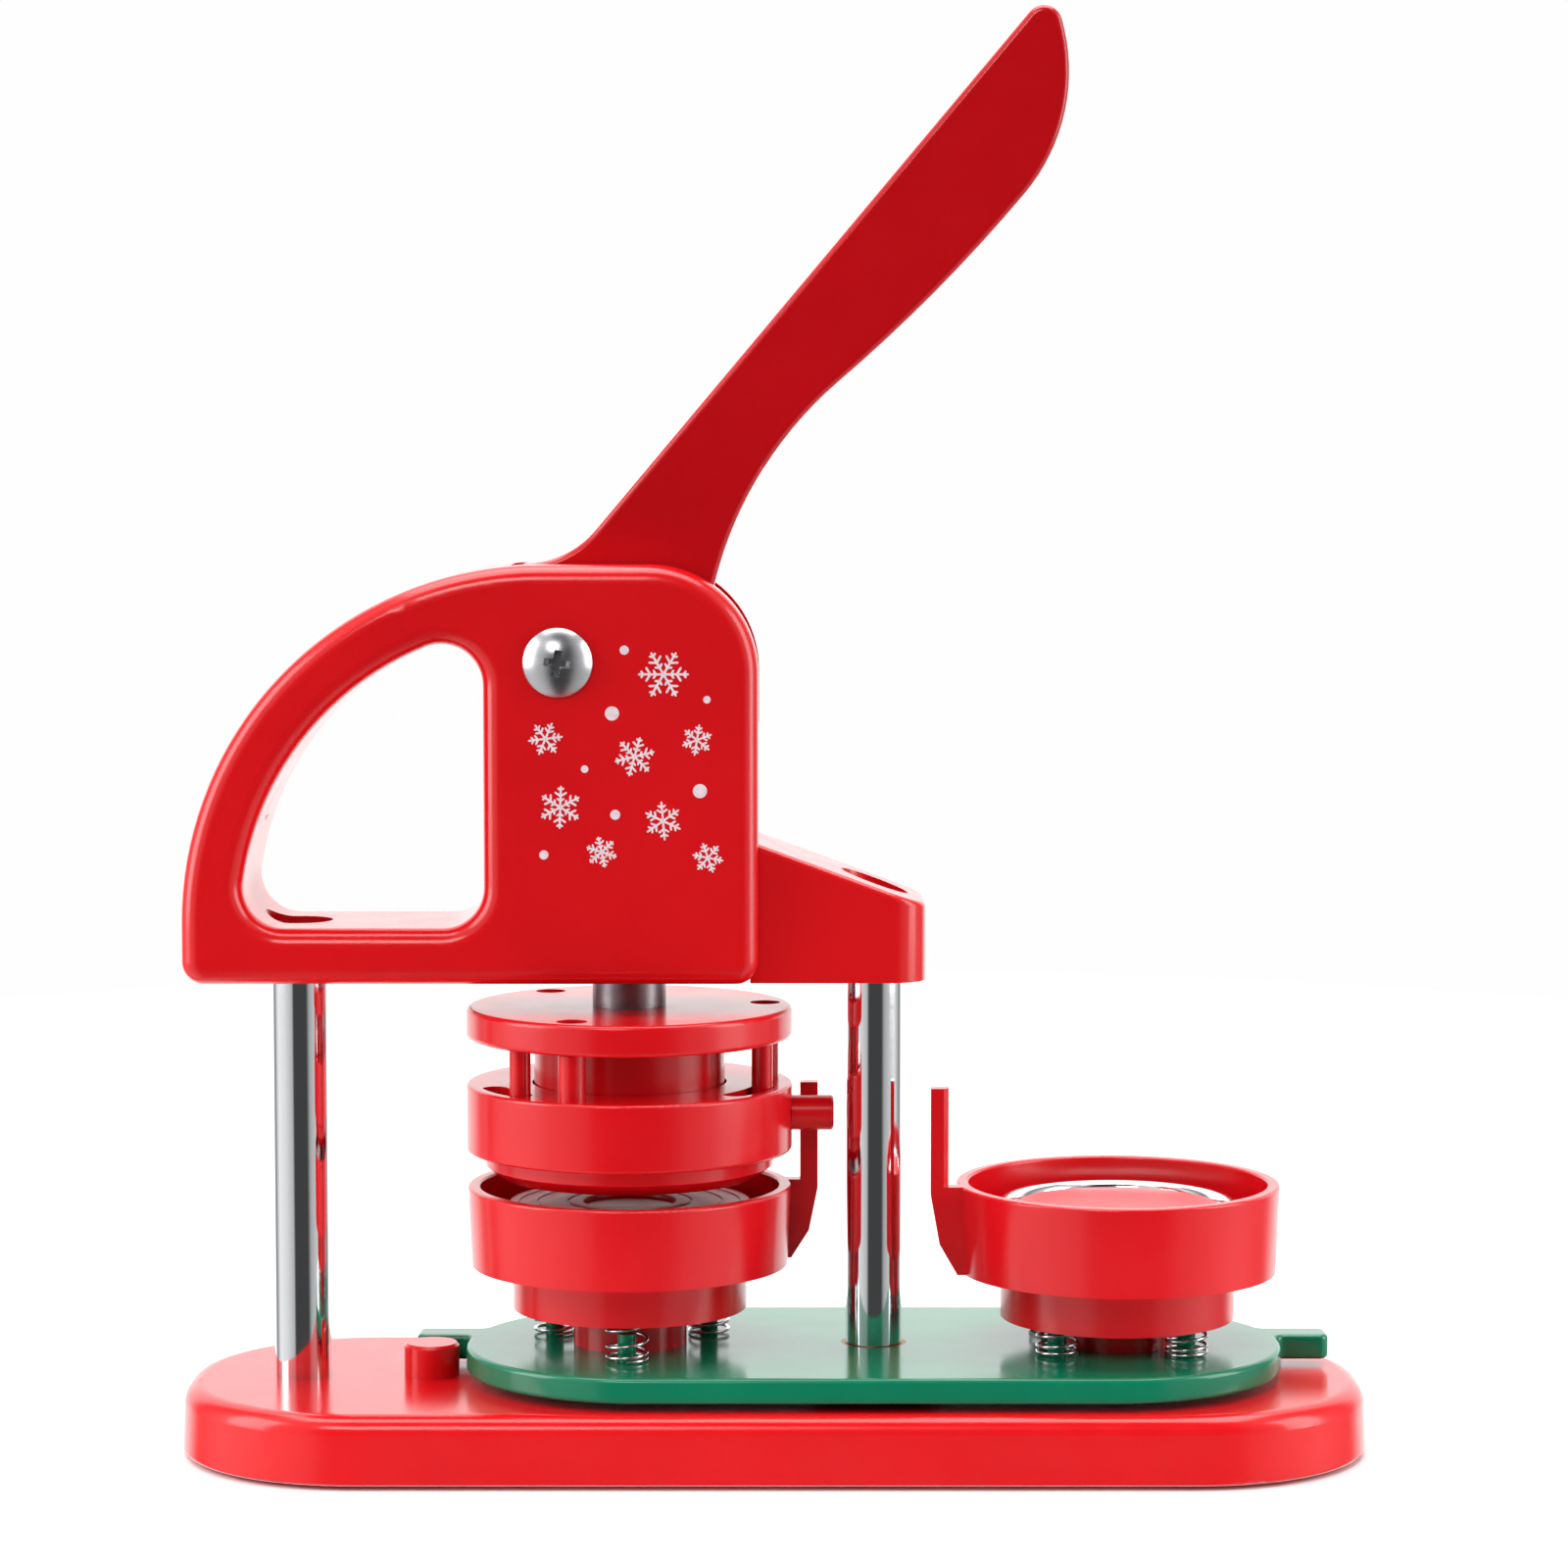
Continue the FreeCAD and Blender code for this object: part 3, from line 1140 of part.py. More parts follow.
def make_pivot():
    """Pivot bolt with its domed head at the front, washer and nut at the back, sleeve and spacers."""
    bolt = new_body("pivot_bolt")
    dome = "((bolt_head ^ 2 + bolt_head_height ^ 2) / (2 * bolt_head_height))"
    lip = "bolt_lip"
    revolve(bolt, "bolt_body", [
        ("0", "0"),
        ("big_screw", "0"),
        ("big_screw", "2 * shell_depth - overrun"),
        ("0", "2 * shell_depth - overrun"),
    ])
    head = new_sketch(bolt, "bolt_head_profile", "XZ_Plane")
    draw_outline(head, [
        ("0", f"-{lip} - bolt_head_height"),
        ("0.01", f"-{lip} - bolt_head_height", dome, "left"),
        ("bolt_head", f"-{lip}"),
        ("bolt_head", "0.0"),
        ("0", "0.0"),
    ])
    crown = bolt.newObject("PartDesign::Revolution", "bolt_head_body")
    crown.Profile = head
    crown.ReferenceAxis = (head, ["V_Axis"])
    crown.Angle = 360
    crosses = (("bolt_cross_length", "bolt_cross_width"), ("bolt_cross_width", "bolt_cross_length"))
    for index, (length, width) in enumerate(crosses):
        box(bolt, "Subtractive", f"bolt_cross{index}", length, width, "bolt_cross_depth",
            f"-{length} / 2", f"-{width} / 2", f"-{lip} - bolt_head_height")
    bolt.Placement = FreeCAD.Placement(FreeCAD.Vector(), TURNS["y"])
    place(bolt, LEVER_X, "-shell_depth", LEVER_Z)
    seat = "(shell_depth - nut_sink)"
    tube("pivot_washer", "big_screw + washer_gap", "big_washer", "washer_thick", LEVER_X, seat, LEVER_Z, "y")
    nut = new_body("pivot_nut")
    hexagon = new_sketch(nut, "nut_outline", "XZ_Plane")
    across = "(nut_flats / sqrt(3))"
    draw_outline(hexagon, [polar(across, 60 * corner) for corner in range(6)])
    pad(nut, "nut_body", hexagon, "nut_thick", Reversed=True)
    cylinder(nut, "Subtractive", "nut_bore", "big_screw", "nut_thick", axis="y")
    place(nut, LEVER_X, f"{seat} + washer_thick", LEVER_Z)
    reach = f"({SPACER_OUTSIDE} + sleeve_reach)"
    tube("pivot_sleeve", "big_screw + running_fit", "sleeve_radius", f"2 * {reach}", LEVER_X, f"-{reach}",
         LEVER_Z, "y")
    spacers = [
        tube(f"spacer{index}", "sleeve_radius + slide_gap", "spacer_radius", "spacer_thick", LEVER_X, y,
             LEVER_Z, "y",
             keep=False)
        for index, y in enumerate(("lever_half + free_gap", "-lever_half - free_gap - spacer_thick"))
    ]
    new_group("spacer_washers", spacers)


def make_handle():
    """Lever, drawn along its own length and then raised to its rest angle about the pivot."""
    body = new_body("handle")
    side = new_sketch(body, "handle_side", "XZ_Plane")
    flare_x = "flare_station - flare_radius * sin(flare_turn)"
    flare_y = "lever_back + flare_radius * (1 - cos(flare_turn))"
    palm_x = "belly_station - palm_radius * sin(palm_turn)"
    palm_y = "belly_offset + palm_radius * (1 - cos(palm_turn))"
    neck_x = f"{palm_x} - neck_arc * (sin(palm_turn) + sin(neck_turn))"
    neck_y = f"{palm_y} - neck_arc * (cos(palm_turn) - cos(neck_turn))"
    tip_rise = "(belly_radius - nose_radius)"
    tip_drop = "(belly_offset + belly_radius + nose_radius - lever_back)"
    tip_reach = f"sqrt({tip_rise} ^ 2 - {tip_drop} ^ 2)"
    draw_outline(side, [
        ("0", "-lever_hub"),
        (neck_x, neck_y, "neck_arc", "right"),
        (palm_x, palm_y, "palm_radius", "left"),
        ("belly_station", "belly_offset", "belly_radius", "left"),
        (f"belly_station + {tip_reach} * belly_radius / {tip_rise}",
         f"belly_offset + belly_radius * (1 - {tip_drop} / {tip_rise})", "nose_radius", "left"),
        (f"belly_station + {tip_reach}", "lever_back"),
        ("flare_station", "lever_back", "flare_radius", "right"),
        (flare_x, flare_y),
        ("0", "lever_hub", "lever_hub", "left"),
        ("-lever_hub", "0", "lever_hub", "left"),
    ])
    pad(body, "handle_blade", side, "2 * lever_half", Midplane=True)
    slot = new_sketch(body, "cam_slot_outline", "XZ_Plane")
    hub = "(cam_hub + cam_gap)"
    draw_outline(slot, [
        (*polar("cam_reach", "cam_slot_from"), "cam_reach", "left"),
        polar("cam_reach", "cam_slot_to"),
        (*polar(hub, "cam_slot_to"), hub, "left"),
        (*polar(hub, "(cam_slot_to + cam_slot_open)"), hub, "left"),
        polar(hub, "cam_slot_from"),
    ])
    pocket(body, "cam_slot", slot, "2 * (cam_half + cam_slot_gap)", Midplane=True)
    cylinder(body, "Subtractive", "handle_bore", "sleeve_radius + running_fit", "2 * lever_half",
             0, "-lever_half", 0, "y")
    for angle in CAM_PIN_ANGLES:
        x, z = polar("cam_pin_circle", angle)
        cylinder(body, "Subtractive", f"handle_pin_hole{angle}", "cam_pin", "2 * lever_half",
                 x, "-lever_half", z, "y")
    outside_edge = lambda edge: (
        edge.CenterOfMass.x > number("lever_hub") + 4 and len(edge.Vertexes) == 2
        and abs(abs(edge.CenterOfMass.y) - number("lever_half")) < 1e-4
    )
    round_edges(body, "handle_round", "lever_round", outside_edge)
    body.Placement = FreeCAD.Placement(FreeCAD.Vector(), FreeCAD.Rotation(FreeCAD.Vector(0, -1, 0), 1))
    bind(body, {"Placement.Rotation.Angle": "lever_rest"})
    place(body, LEVER_X, 0, LEVER_Z)


def pin_angles():
    """Angles of the cam pins with the lever at rest."""
    return [angle + number("lever_rest") for angle in CAM_PIN_ANGLES]


def make_cam():
    """Steel cam pinned in the lever. Its lobe is the involute of a circle whose radius is the ram's travel
    for each radian of lever swing, so the flat ram head under it moves in step with the lever."""
    half, hub, start = number("cam_half"), number("cam_hub"), number("cam_start")
    swing = math.radians(number("lever_swing"))
    rate = number("ram_travel") / swing
    lead = math.radians(6)
    steps = 12

    def on_lobe(angle):
        drop = start + rate * angle
        return FreeCAD.Vector(rate * math.cos(angle) + drop * math.sin(angle), -half,
                              rate * math.sin(angle) - drop * math.cos(angle))

    span = swing + 2 * lead
    points = [on_lobe(-lead + span * step / steps) for step in range(steps + 1)]
    curve = Part.BSplineCurve()
    curve.interpolate(points)
    centre = FreeCAD.Vector(0, -half, 0)
    sides = [curve.toShape(), Part.LineSegment(points[-1], centre).toShape(),
             Part.LineSegment(centre, points[0]).toShape()]
    thickness = FreeCAD.Vector(0, 2 * half, 0)
    across = FreeCAD.Vector(0, 1, 0)
    lobe = Part.Face(Part.Wire(sides)).extrude(thickness)
    solid = lobe.fuse(Part.makeCylinder(hub, 2 * half, centre, across))
    solid = solid.cut(Part.makeCylinder(number("sleeve_radius + running_fit"), 2 * half, centre, across))
    for angle in pin_angles():
        offset = FreeCAD.Vector(math.cos(math.radians(angle)), 0, math.sin(math.radians(angle)))
        place_of_pin = centre + offset * number("cam_pin_circle")
        solid = solid.cut(Part.makeCylinder(number("cam_pin"), 2 * half, place_of_pin, across))
    cam = doc.addObject("Part::Feature", "lever_cam")
    cam.Shape = solid.removeSplitter()
    place(cam, LEVER_X, 0, LEVER_Z)
    sub_parts.append(cam)
    pins = []
    for index, angle in enumerate(CAM_PIN_ANGLES):
        x, z = polar("cam_pin_circle", f"({angle} + lever_rest)")
        pin = new_body(f"cam_pin{index}", keep=False)
        cylinder(pin, "Additive", f"cam_pin_rod{index}", "cam_pin", "2 * lever_half", axis="y")
        place(pin, f"{LEVER_X} + {x}", "-lever_half", f"{LEVER_Z} + {z}")
        pins.append(pin)
    new_group("cam_pins", pins)


def check(item):
    """Stops the build if an object failed or a cut removed nothing."""
    if any(state in item.State for state in ("Invalid", "Error")):
        raise RuntimeError(f"{item.Label} failed: {item.State}")
    cutting = ("PartDesign::Pocket", "PartDesign::Groove", "PartDesign::Subtractive")
    if item.TypeId.startswith(cutting) and item.BaseFeature.Shape.Volume - item.Shape.Volume < 0.01:
        raise RuntimeError(f"{item.Label} cuts nothing")


make_base()
make_feet()
make_stop_peg()
make_rods()
make_rod_screws()
make_turntable()
make_pivot_fittings()
make_columns()
make_cup("pickup_cup", "pickup_neck", "pickup_wall", "pickup_neck_gap", "pickup_pocket", PICKUP_ANGLES, RAM_X,
         False)
make_cup("crimp_cup", "crimp_neck", "crimp_wall", "crimp_neck_gap", "crimp_pocket",
         [angle - 180 for angle in CRIMP_ANGLES], CRIMP_X, True)
make_die_springs("pickup_springs", PICKUP_ANGLES, "pickup_neck_gap", "pickup_pocket", RAM_X, "5")
make_die_springs("crimp_springs", CRIMP_ANGLES, "crimp_neck_gap", "crimp_pocket", CRIMP_X, "5")
make_upper_ring()
make_ring_peg()
make_press_plate()
make_punch()
make_ram()
make_shell("housing_front", -1)
make_shell("housing_back", 1)
make_shell_screws()
make_pivot()
make_handle()
make_cam()

doc.recompute()
for item in doc.Objects:
    check(item)
for sub_part in sub_parts:
    shape = sub_part.Shape
    if shape.isNull() or not shape.isValid() or not shape.Solids:
        raise RuntimeError(f"{sub_part.Label} has no valid solid")

os.makedirs("parts", exist_ok=True)
for sub_part in sub_parts:
    sub_part.Shape.exportStep(f"parts/{sub_part.Label}.step")
print(len(sub_parts), "sub-parts")
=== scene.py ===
"""Looks of a hand-lever button badge maker.

The moulded shells, rods and dies are the frame's own nodes and only get their finishes here. The springs,
the pivot bolt, the grooved die face and the printed flakes are modelled here.
"""
import logging
import math
from collections.abc import Callable
from dataclasses import dataclass
from enum import Enum
from functools import cache
from typing import Any

import bpy
from mathutils import Matrix, Vector


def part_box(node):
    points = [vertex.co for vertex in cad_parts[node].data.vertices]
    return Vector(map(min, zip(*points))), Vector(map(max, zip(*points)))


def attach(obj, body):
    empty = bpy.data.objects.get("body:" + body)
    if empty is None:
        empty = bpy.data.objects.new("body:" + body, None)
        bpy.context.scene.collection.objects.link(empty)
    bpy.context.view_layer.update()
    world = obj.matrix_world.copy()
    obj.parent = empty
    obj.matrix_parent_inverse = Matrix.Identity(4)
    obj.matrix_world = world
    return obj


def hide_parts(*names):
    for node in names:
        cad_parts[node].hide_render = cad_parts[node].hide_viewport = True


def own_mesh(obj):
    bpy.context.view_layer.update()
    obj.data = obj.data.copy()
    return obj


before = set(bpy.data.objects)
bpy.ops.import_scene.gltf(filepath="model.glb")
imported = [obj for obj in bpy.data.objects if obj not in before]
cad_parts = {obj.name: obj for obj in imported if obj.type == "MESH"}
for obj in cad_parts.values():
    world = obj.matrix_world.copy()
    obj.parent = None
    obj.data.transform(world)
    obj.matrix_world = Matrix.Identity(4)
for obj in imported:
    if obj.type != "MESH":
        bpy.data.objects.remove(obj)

# Lengths are in metres, and MM turns millimetres to them. A face whose normal lies this much along an axis
# is FACING it, or SQUARE to it. Points within FLUSH of a level are on it, and points within WELD are one.
LOG = logging.getLogger("badge_maker")
MM = 0.001
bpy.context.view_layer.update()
FACING = 0.9
SQUARE = 0.99
FLUSH = 0.01 * MM
WELD = 0.001 * MM
SHARP_EDGE = math.radians(40)


# --- small tools ---------------------------------------------------------------------------------------


def linear(hex_colour: str) -> tuple[float, float, float, float]:
    """Turns an sRGB colour to the linear one that the shaders take.

    Args:
        hex_colour: the colour as six hex digits.

    Returns:
        Red, green, blue and alpha, linear.
    """
    channels = [int(hex_colour[start:start + 2], 16) / 255 for start in (0, 2, 4)]
    curve = [c / 12.92 if c <= 0.04045 else ((c + 0.055) / 1.055) ** 2.4 for c in channels]
    return curve[0], curve[1], curve[2], 1.0


def feed(tree: bpy.types.NodeTree, node: bpy.types.Node, inputs: dict[str | int, Any]) -> None:
    """Gives a node its inputs.

    Args:
        tree: the node tree it is in.
        node: the node.
        inputs: its input values or the output sockets they are linked from, by name or number.
    """
    for name, value in inputs.items():
        if isinstance(value, bpy.types.NodeSocket):
            tree.links.new(value, node.inputs[name])
        else:
            node.inputs[name].default_value = value


def add_node(tree: bpy.types.NodeTree, kind: str, fields: dict[str, Any] | None = None,
             inputs: dict[str | int, Any] | None = None) -> bpy.types.Node:
    """Adds a node with its settings and links.

    Args:
        tree: the node tree it goes in.
        kind: the node's type.
        fields: its own settings, by name.
        inputs: its input values or the output sockets they are linked from, by name or number.

    Returns:
        The node.
    """
    node = tree.nodes.new(kind)
    for name, setting in (fields or {}).items():
        setattr(node, name, setting)
    feed(tree, node, inputs or {})
    return node


def select_only(*pieces: bpy.types.Object) -> None:
    """Selects some objects alone and makes the last one active.

    Args:
        pieces: the objects.
    """
    if bpy.context.object and bpy.context.object.mode != "OBJECT":
        bpy.ops.object.mode_set(mode="OBJECT")
    bpy.ops.object.select_all(action="DESELECT")
    for piece in pieces:
        piece.select_set(True)
        bpy.context.view_layer.objects.active = piece


def select_faces(piece: bpy.types.Object, test: Callable[[Vector, Vector], bool]) -> None:
    """Selects, in edit mode, the faces that pass a test on their centre and normal.

    Args:
        piece: the mesh object, which is active.
        test: takes a face's centre and normal and says whether it is wanted.
    """
    bpy.ops.object.mode_set(mode="EDIT")
    bpy.ops.mesh.select_mode(type="FACE")
    bpy.ops.mesh.select_all(action="DESELECT")
    bpy.ops.object.mode_set(mode="OBJECT")
    for face in piece.data.polygons:
        face.select = bool(test(face.center, face.normal))
    bpy.ops.object.mode_set(mode="EDIT")


def select_edges(piece: bpy.types.Object, test: Callable[[Vector], bool]) -> None:
    """Selects, in edit mode, the edges both of whose ends pass a test on their place.

    Args:
        piece: the mesh object, which is active.
        test: takes a point's place and says whether it is wanted.
    """
    bpy.ops.object.mode_set(mode="EDIT")
    bpy.ops.mesh.select_mode(type="EDGE")
    bpy.ops.mesh.select_all(action="DESELECT")
    bpy.ops.object.mode_set(mode="OBJECT")
    points = piece.data.vertices
    for edge in piece.data.edges:
        edge.select = all(test(points[end].co) for end in edge.vertices)
    bpy.ops.object.mode_set(mode="EDIT")


def take_new(name: str) -> bpy.types.Object:
    """Names the primitive that was just added and puts its place into its mesh.

    Args:
        name: the piece's name.

    Returns:
        The piece.
    """
    piece = bpy.context.object
    piece.name = name
    bpy.ops.object.transform_apply(location=True, rotation=True, scale=True)
    return piece


def draw_out(across: float, back: float, up: float) -> None:
    """Extrudes the selected faces by this much along X, Y and Z."""
    bpy.ops.mesh.extrude_region_move(TRANSFORM_OT_translate={"value": (across, back, up)})


def round_off(piece: bpy.types.Object, name: str, width: float) -> None:
    """Adds the small rounding that wear or turning leaves on a piece's sharp edges.

    Args:
        piece: the piece.
        name: the modifier's name.
        width: the rounding's width.
    """
    bevel = piece.modifiers.new(name, "BEVEL")
    bevel.width = width
    bevel.segments = 2
    bevel.limit_method = "ANGLE"
    bevel.angle_limit = SHARP_EDGE


def combine(piece: bpy.types.Object, name: str, operation: str,
            other: bpy.types.Object) -> bpy.types.Modifier:
    """Adds a boolean with another object to a piece.

    Args:
        piece: the piece.
        name: the modifier's name.
        operation: what the boolean does.
        other: the object it works with.

    Returns:
        The modifier, not applied yet.
    """
    join = piece.modifiers.new(name, "BOOLEAN")
    join.operation = operation
    join.object = other
    join.solver = "EXACT"
    return join


def apply_modifiers(piece: bpy.types.Object) -> None:
    """Applies all of a piece's modifiers in order.

    Args:
        piece: the piece.
    """
    select_only(piece)
    for modifier in list(piece.modifiers):
        bpy.ops.object.modifier_apply(modifier=modifier.name)


def settle(piece: bpy.types.Object, smooth_angle: float = 35.0) -> None:
    """Puts a piece's place into its mesh, turns its faces outwards and smooths its shading.

    Args:
        piece: the piece, finished in shape.
        smooth_angle: edges sharper than this many degrees stay sharp.
    """
    select_only(piece)
    bpy.ops.object.transform_apply(location=True, rotation=True, scale=True)
    bpy.ops.object.mode_set(mode="EDIT")
    bpy.ops.mesh.select_all(action="SELECT")
    bpy.ops.mesh.remove_doubles(threshold=WELD)
    bpy.ops.mesh.normals_make_consistent(inside=False)
    bpy.ops.object.mode_set(mode="OBJECT")
    bpy.ops.object.shade_smooth_by_angle(angle=math.radians(smooth_angle))


# --- finishes ------------------------------------------------------------------------------------------


@dataclass(frozen=True)
class Coat:
    """The nodes of one material while a finish makes it. Sizes are in millimetres on the real surface."""

    tree: bpy.types.NodeTree
    place: bpy.types.NodeSocket
    shader: bpy.types.Node

    def set(self, inputs: dict[str, Any]) -> None:
        """Gives the shader its values and links."""
        feed(self.tree, self.shader, inputs)

    def noise(self, size_mm: float, detail: float = 2.0,
              place: bpy.types.NodeSocket | None = None) -> bpy.types.NodeSocket:
        """Soft noise whose spots are about a given size.

        Args:
            size_mm: the size of a spot.
            detail: how many finer layers are added.
            place: where on the piece, in metres, if not the plain place.

        Returns:
            The noise, about 0.3 to 0.7.
        """
        where = self.place if place is None else place
        return add_node(self.tree, "ShaderNodeTexNoise", inputs={
            "Vector": where, "Scale": 1 / (size_mm * MM), "Detail": detail}).outputs[0]

    def rings(self, size_mm: float, detail: float, stretch: float) -> bpy.types.NodeSocket:
        """Noise drawn out round the upright axis, as tool marks on a turned part.

        Args:
            size_mm: how far apart the rings are.
            detail: how many finer layers are added.
            stretch: the share of its change that is left across the axis.

        Returns:
            The noise.
        """
        drawn = add_node(self.tree, "ShaderNodeMapping", inputs={
            "Vector": self.place, "Scale": (stretch, stretch, 1.0)})
        return self.noise(size_mm, detail, drawn.outputs[0])

    def between(self, factor: bpy.types.NodeSocket, low: float, high: float) -> bpy.types.NodeSocket:
        """Spreads a noise over a range of values.

        Args:
            factor: the noise.
            low: the value where it is weak.
            high: the value where it is strong.

        Returns:
            The value.
        """
        return add_node(self.tree, "ShaderNodeMapRange", inputs={
            "Value": factor, "From Min": 0.25, "From Max": 0.75, "To Min": low, "To Max": high}).outputs[0]

    def tint(self, factor: bpy.types.NodeSocket, one: str, other: str) -> bpy.types.NodeSocket:
        """Mixes two colours by a noise.

        Args:
            factor: the noise.
            one: the colour where it is weak.
            other: the colour where it is strong.

        Returns:
            The colour.
        """
        share = self.between(factor, 0.0, 1.0)
        return add_node(self.tree, "ShaderNodeMix", {"data_type": "RGBA"},
                        {0: share, 6: linear(one), 7: linear(other)}).outputs[2]

    def relief(self, height: bpy.types.NodeSocket, depth_mm: float,
               below: bpy.types.NodeSocket | None = None) -> bpy.types.NodeSocket:
        """Turns a noise to a surface relief of a real depth.

        Args:
            height: the noise.
            depth_mm: the depth of its relief.
            below: a relief that this one lies on.

        Returns:
            The normal for the shader.
        """
        links = {"Height": height, "Distance": depth_mm * MM, "Strength": 1.0}
        if below is not None:
            links["Normal"] = below
        return add_node(self.tree, "ShaderNodeBump", inputs=links).outputs[0]


@dataclass(frozen=True)
class Finish:
    """A finish of one real material: its name and how its nodes are made."""

    name: str

    @cache
    def material(self) -> bpy.types.Material:
        """Makes the finish's material the first time it is asked for.

        Returns:
            The material.
        """
        made = bpy.data.materials.new(self.name)
        made.use_nodes = True
        tree = made.node_tree
        tree.nodes.clear()
        place = add_node(tree, "ShaderNodeTexCoord").outputs["Object"]
        shader = add_node(tree, "ShaderNodeBsdfPrincipled")
        add_node(tree, "ShaderNodeOutputMaterial", inputs={"Surface": shader.outputs["BSDF"]})
        self.paint(Coat(tree, place, shader))
        return made

    def paint(self, coat: Coat) -> None:
        """Sets the coat's shader up and adds the nodes that vary it over the surface."""
        raise NotImplementedError


@dataclass(frozen=True)
class MouldedAbs(Finish):
    """Injection-moulded glossy ABS.

    Pigment flows a little unevenly, so the colour drifts slowly over a moulding. The polished mould leaves a
    faint waviness where the walls sink and a very fine skin, which breaks the edge of each reflection.
    """

    colour: str
    drift: str
    roughness: float = 0.24
    glow: float = 0.06
    flow_mm: float = 40.0
    sheen_mm: float = 9.0
    sink_mm: float = 22.0
    sink_depth_mm: float = 0.03
    skin_mm: float = 1.6
    skin_depth_mm: float = 0.0015

    def paint(self, coat: Coat) -> None:
        """Drifting pigment, a slightly uneven gloss, sink marks and a skin drawn coarser than the real one.

        Args:
            coat: the material's nodes.
        """
        sink = coat.relief(coat.noise(self.sink_mm, 0.0), self.sink_depth_mm)
        sheen = coat.noise(self.sheen_mm)
        coat.set({
            "Base Color": coat.tint(coat.noise(self.flow_mm), self.colour, self.drift),
            "Roughness": coat.between(sheen, self.roughness - 0.02, self.roughness + 0.03),
            "Normal": coat.relief(coat.noise(self.skin_mm), self.skin_depth_mm, sink),
            "IOR": 1.54,
            "Subsurface Weight": self.glow,
            "Subsurface Radius": (1.0, 0.25, 0.15),
            "Subsurface Scale": 1.2 * MM,
        })


@dataclass(frozen=True)
class HardChrome(Finish):
    """Hard-chromed steel bar, ground round and polished.

    It mirrors its surroundings almost cleanly; the rings left by grinding differ a little in gloss.
    """

    colour: str = "E6E8EA"
    roughness: float = 0.05
    ring_mm: float = 1.5
    ring_stretch: float = 0.02

    def paint(self, coat: Coat) -> None:
        """Grinding rings, drawn coarser than the real ones so that they show.

        Args:
            coat: the material's nodes.
        """
        grind = coat.rings(self.ring_mm, 2.0, self.ring_stretch)
        coat.set({
            "Base Color": linear(self.colour),
            "Roughness": coat.between(grind, self.roughness, self.roughness + 0.05),
            "Metallic": 1.0,
        })


@dataclass(frozen=True)
class TurnedSteel(Finish):
    """Bare turned or ground steel with a thin film of oil: duller than chrome, with a darker bloom."""

    colour: str = "9A9699"
    bloom: str = "7C757C"
    roughness: float = 0.3
    ring_mm: float = 1.2
    ring_stretch: float = 0.03
    ring_depth_mm: float = 0.002
    film_mm: float = 5.0

    def paint(self, coat: Coat) -> None:
        """Turning rings under a spotted film.

        Args:
            coat: the material's nodes.
        """
        film = coat.noise(self.film_mm, 5.0)
        coat.set({
            "Base Color": coat.tint(film, self.colour, self.bloom),
            "Roughness": coat.between(film, self.roughness, self.roughness + 0.12),
            "Normal": coat.relief(coat.rings(self.ring_mm, 1.0, self.ring_stretch), self.ring_depth_mm),
            "Metallic": 1.0,
        })


@dataclass(frozen=True)
class ZincPlate(Finish):
    """Zinc-plated screw steel: pale, faintly blue and yellow where the passivation varies."""

    blue: str = "C4C9D0"
    yellow: str = "CFCBBE"
    cloud_mm: float = 3.0
    grain_mm: float = 0.25
    grain_depth_mm: float = 0.002

    def paint(self, coat: Coat) -> None:
        """Clouds of passivation over a plated grain.

        Args:
            coat: the material's nodes.
        """
        grain = coat.noise(self.grain_mm)
        coat.set({
            "Base Color": coat.tint(coat.noise(self.cloud_mm, 3.0), self.blue, self.yellow),
            "Roughness": coat.between(grain, 0.26, 0.38),
            "Normal": coat.relief(grain, self.grain_depth_mm),
            "Metallic": 1.0,
        })


@dataclass(frozen=True)
class DrawnWire(Finish):
    """Drawn stainless spring wire: bright, with faint draw marks and duller stretches."""

    colour: str = "D8D8DA"
    stretch_mm: float = 4.0
    mark_mm: float = 0.2
    mark_depth_mm: float = 0.001

    def paint(self, coat: Coat) -> None:
        """Draw marks, and brighter and duller stretches along the wire.

        Args:
            coat: the material's nodes.
        """
        coat.set({
            "Base Color": linear(self.colour),
            "Roughness": coat.between(coat.noise(self.stretch_mm), 0.12, 0.26),
            "Normal": coat.relief(coat.noise(self.mark_mm), self.mark_depth_mm),
            "Metallic": 1.0,
        })


@dataclass(frozen=True)
class SinteredBronze(Finish):
    """Oil-soaked sintered bronze: brown-gold, with fine open pores."""

    colour: str = "A9824C"
    pore: str = "6B4A26"
    pore_mm: float = 0.4
    pore_depth_mm: float = 0.01

    def paint(self, coat: Coat) -> None:
        """Open pores, drawn coarser than the real ones.

        Args:
            coat: the material's nodes.
        """
        pores = add_node(coat.tree, "ShaderNodeTexVoronoi", inputs={
            "Vector": coat.place, "Scale": 1 / (self.pore_mm * MM)}).outputs["Distance"]
        coat.set({
            "Base Color": coat.tint(pores, self.pore, self.colour),
            "Roughness": 0.42,
            "Normal": coat.relief(pores, self.pore_depth_mm),
            "Metallic": 1.0,
        })


@dataclass(frozen=True)
class Acetal(Finish):
    """Natural acetal, as used for washers and collars: milky white with a waxy surface."""

    colour: str = "E9E7DF"
    shade: str = "DAD6CA"
    drift_mm: float = 9.0
    skin_mm: float = 0.8
    skin_depth_mm: float = 0.004

    def paint(self, coat: Coat) -> None:
        """A slow drift of colour and a waxy skin.

        Args:
            coat: the material's nodes.
        """
        skin = coat.noise(self.skin_mm, 3.0)
        coat.set({
            "Base Color": coat.tint(coat.noise(self.drift_mm), self.colour, self.shade),
            "Roughness": coat.between(skin, 0.42, 0.55),
            "Normal": coat.relief(skin, self.skin_depth_mm),
            "IOR": 1.48,
            "Subsurface Weight": 0.15,
            "Subsurface Scale": 1.5 * MM,
        })


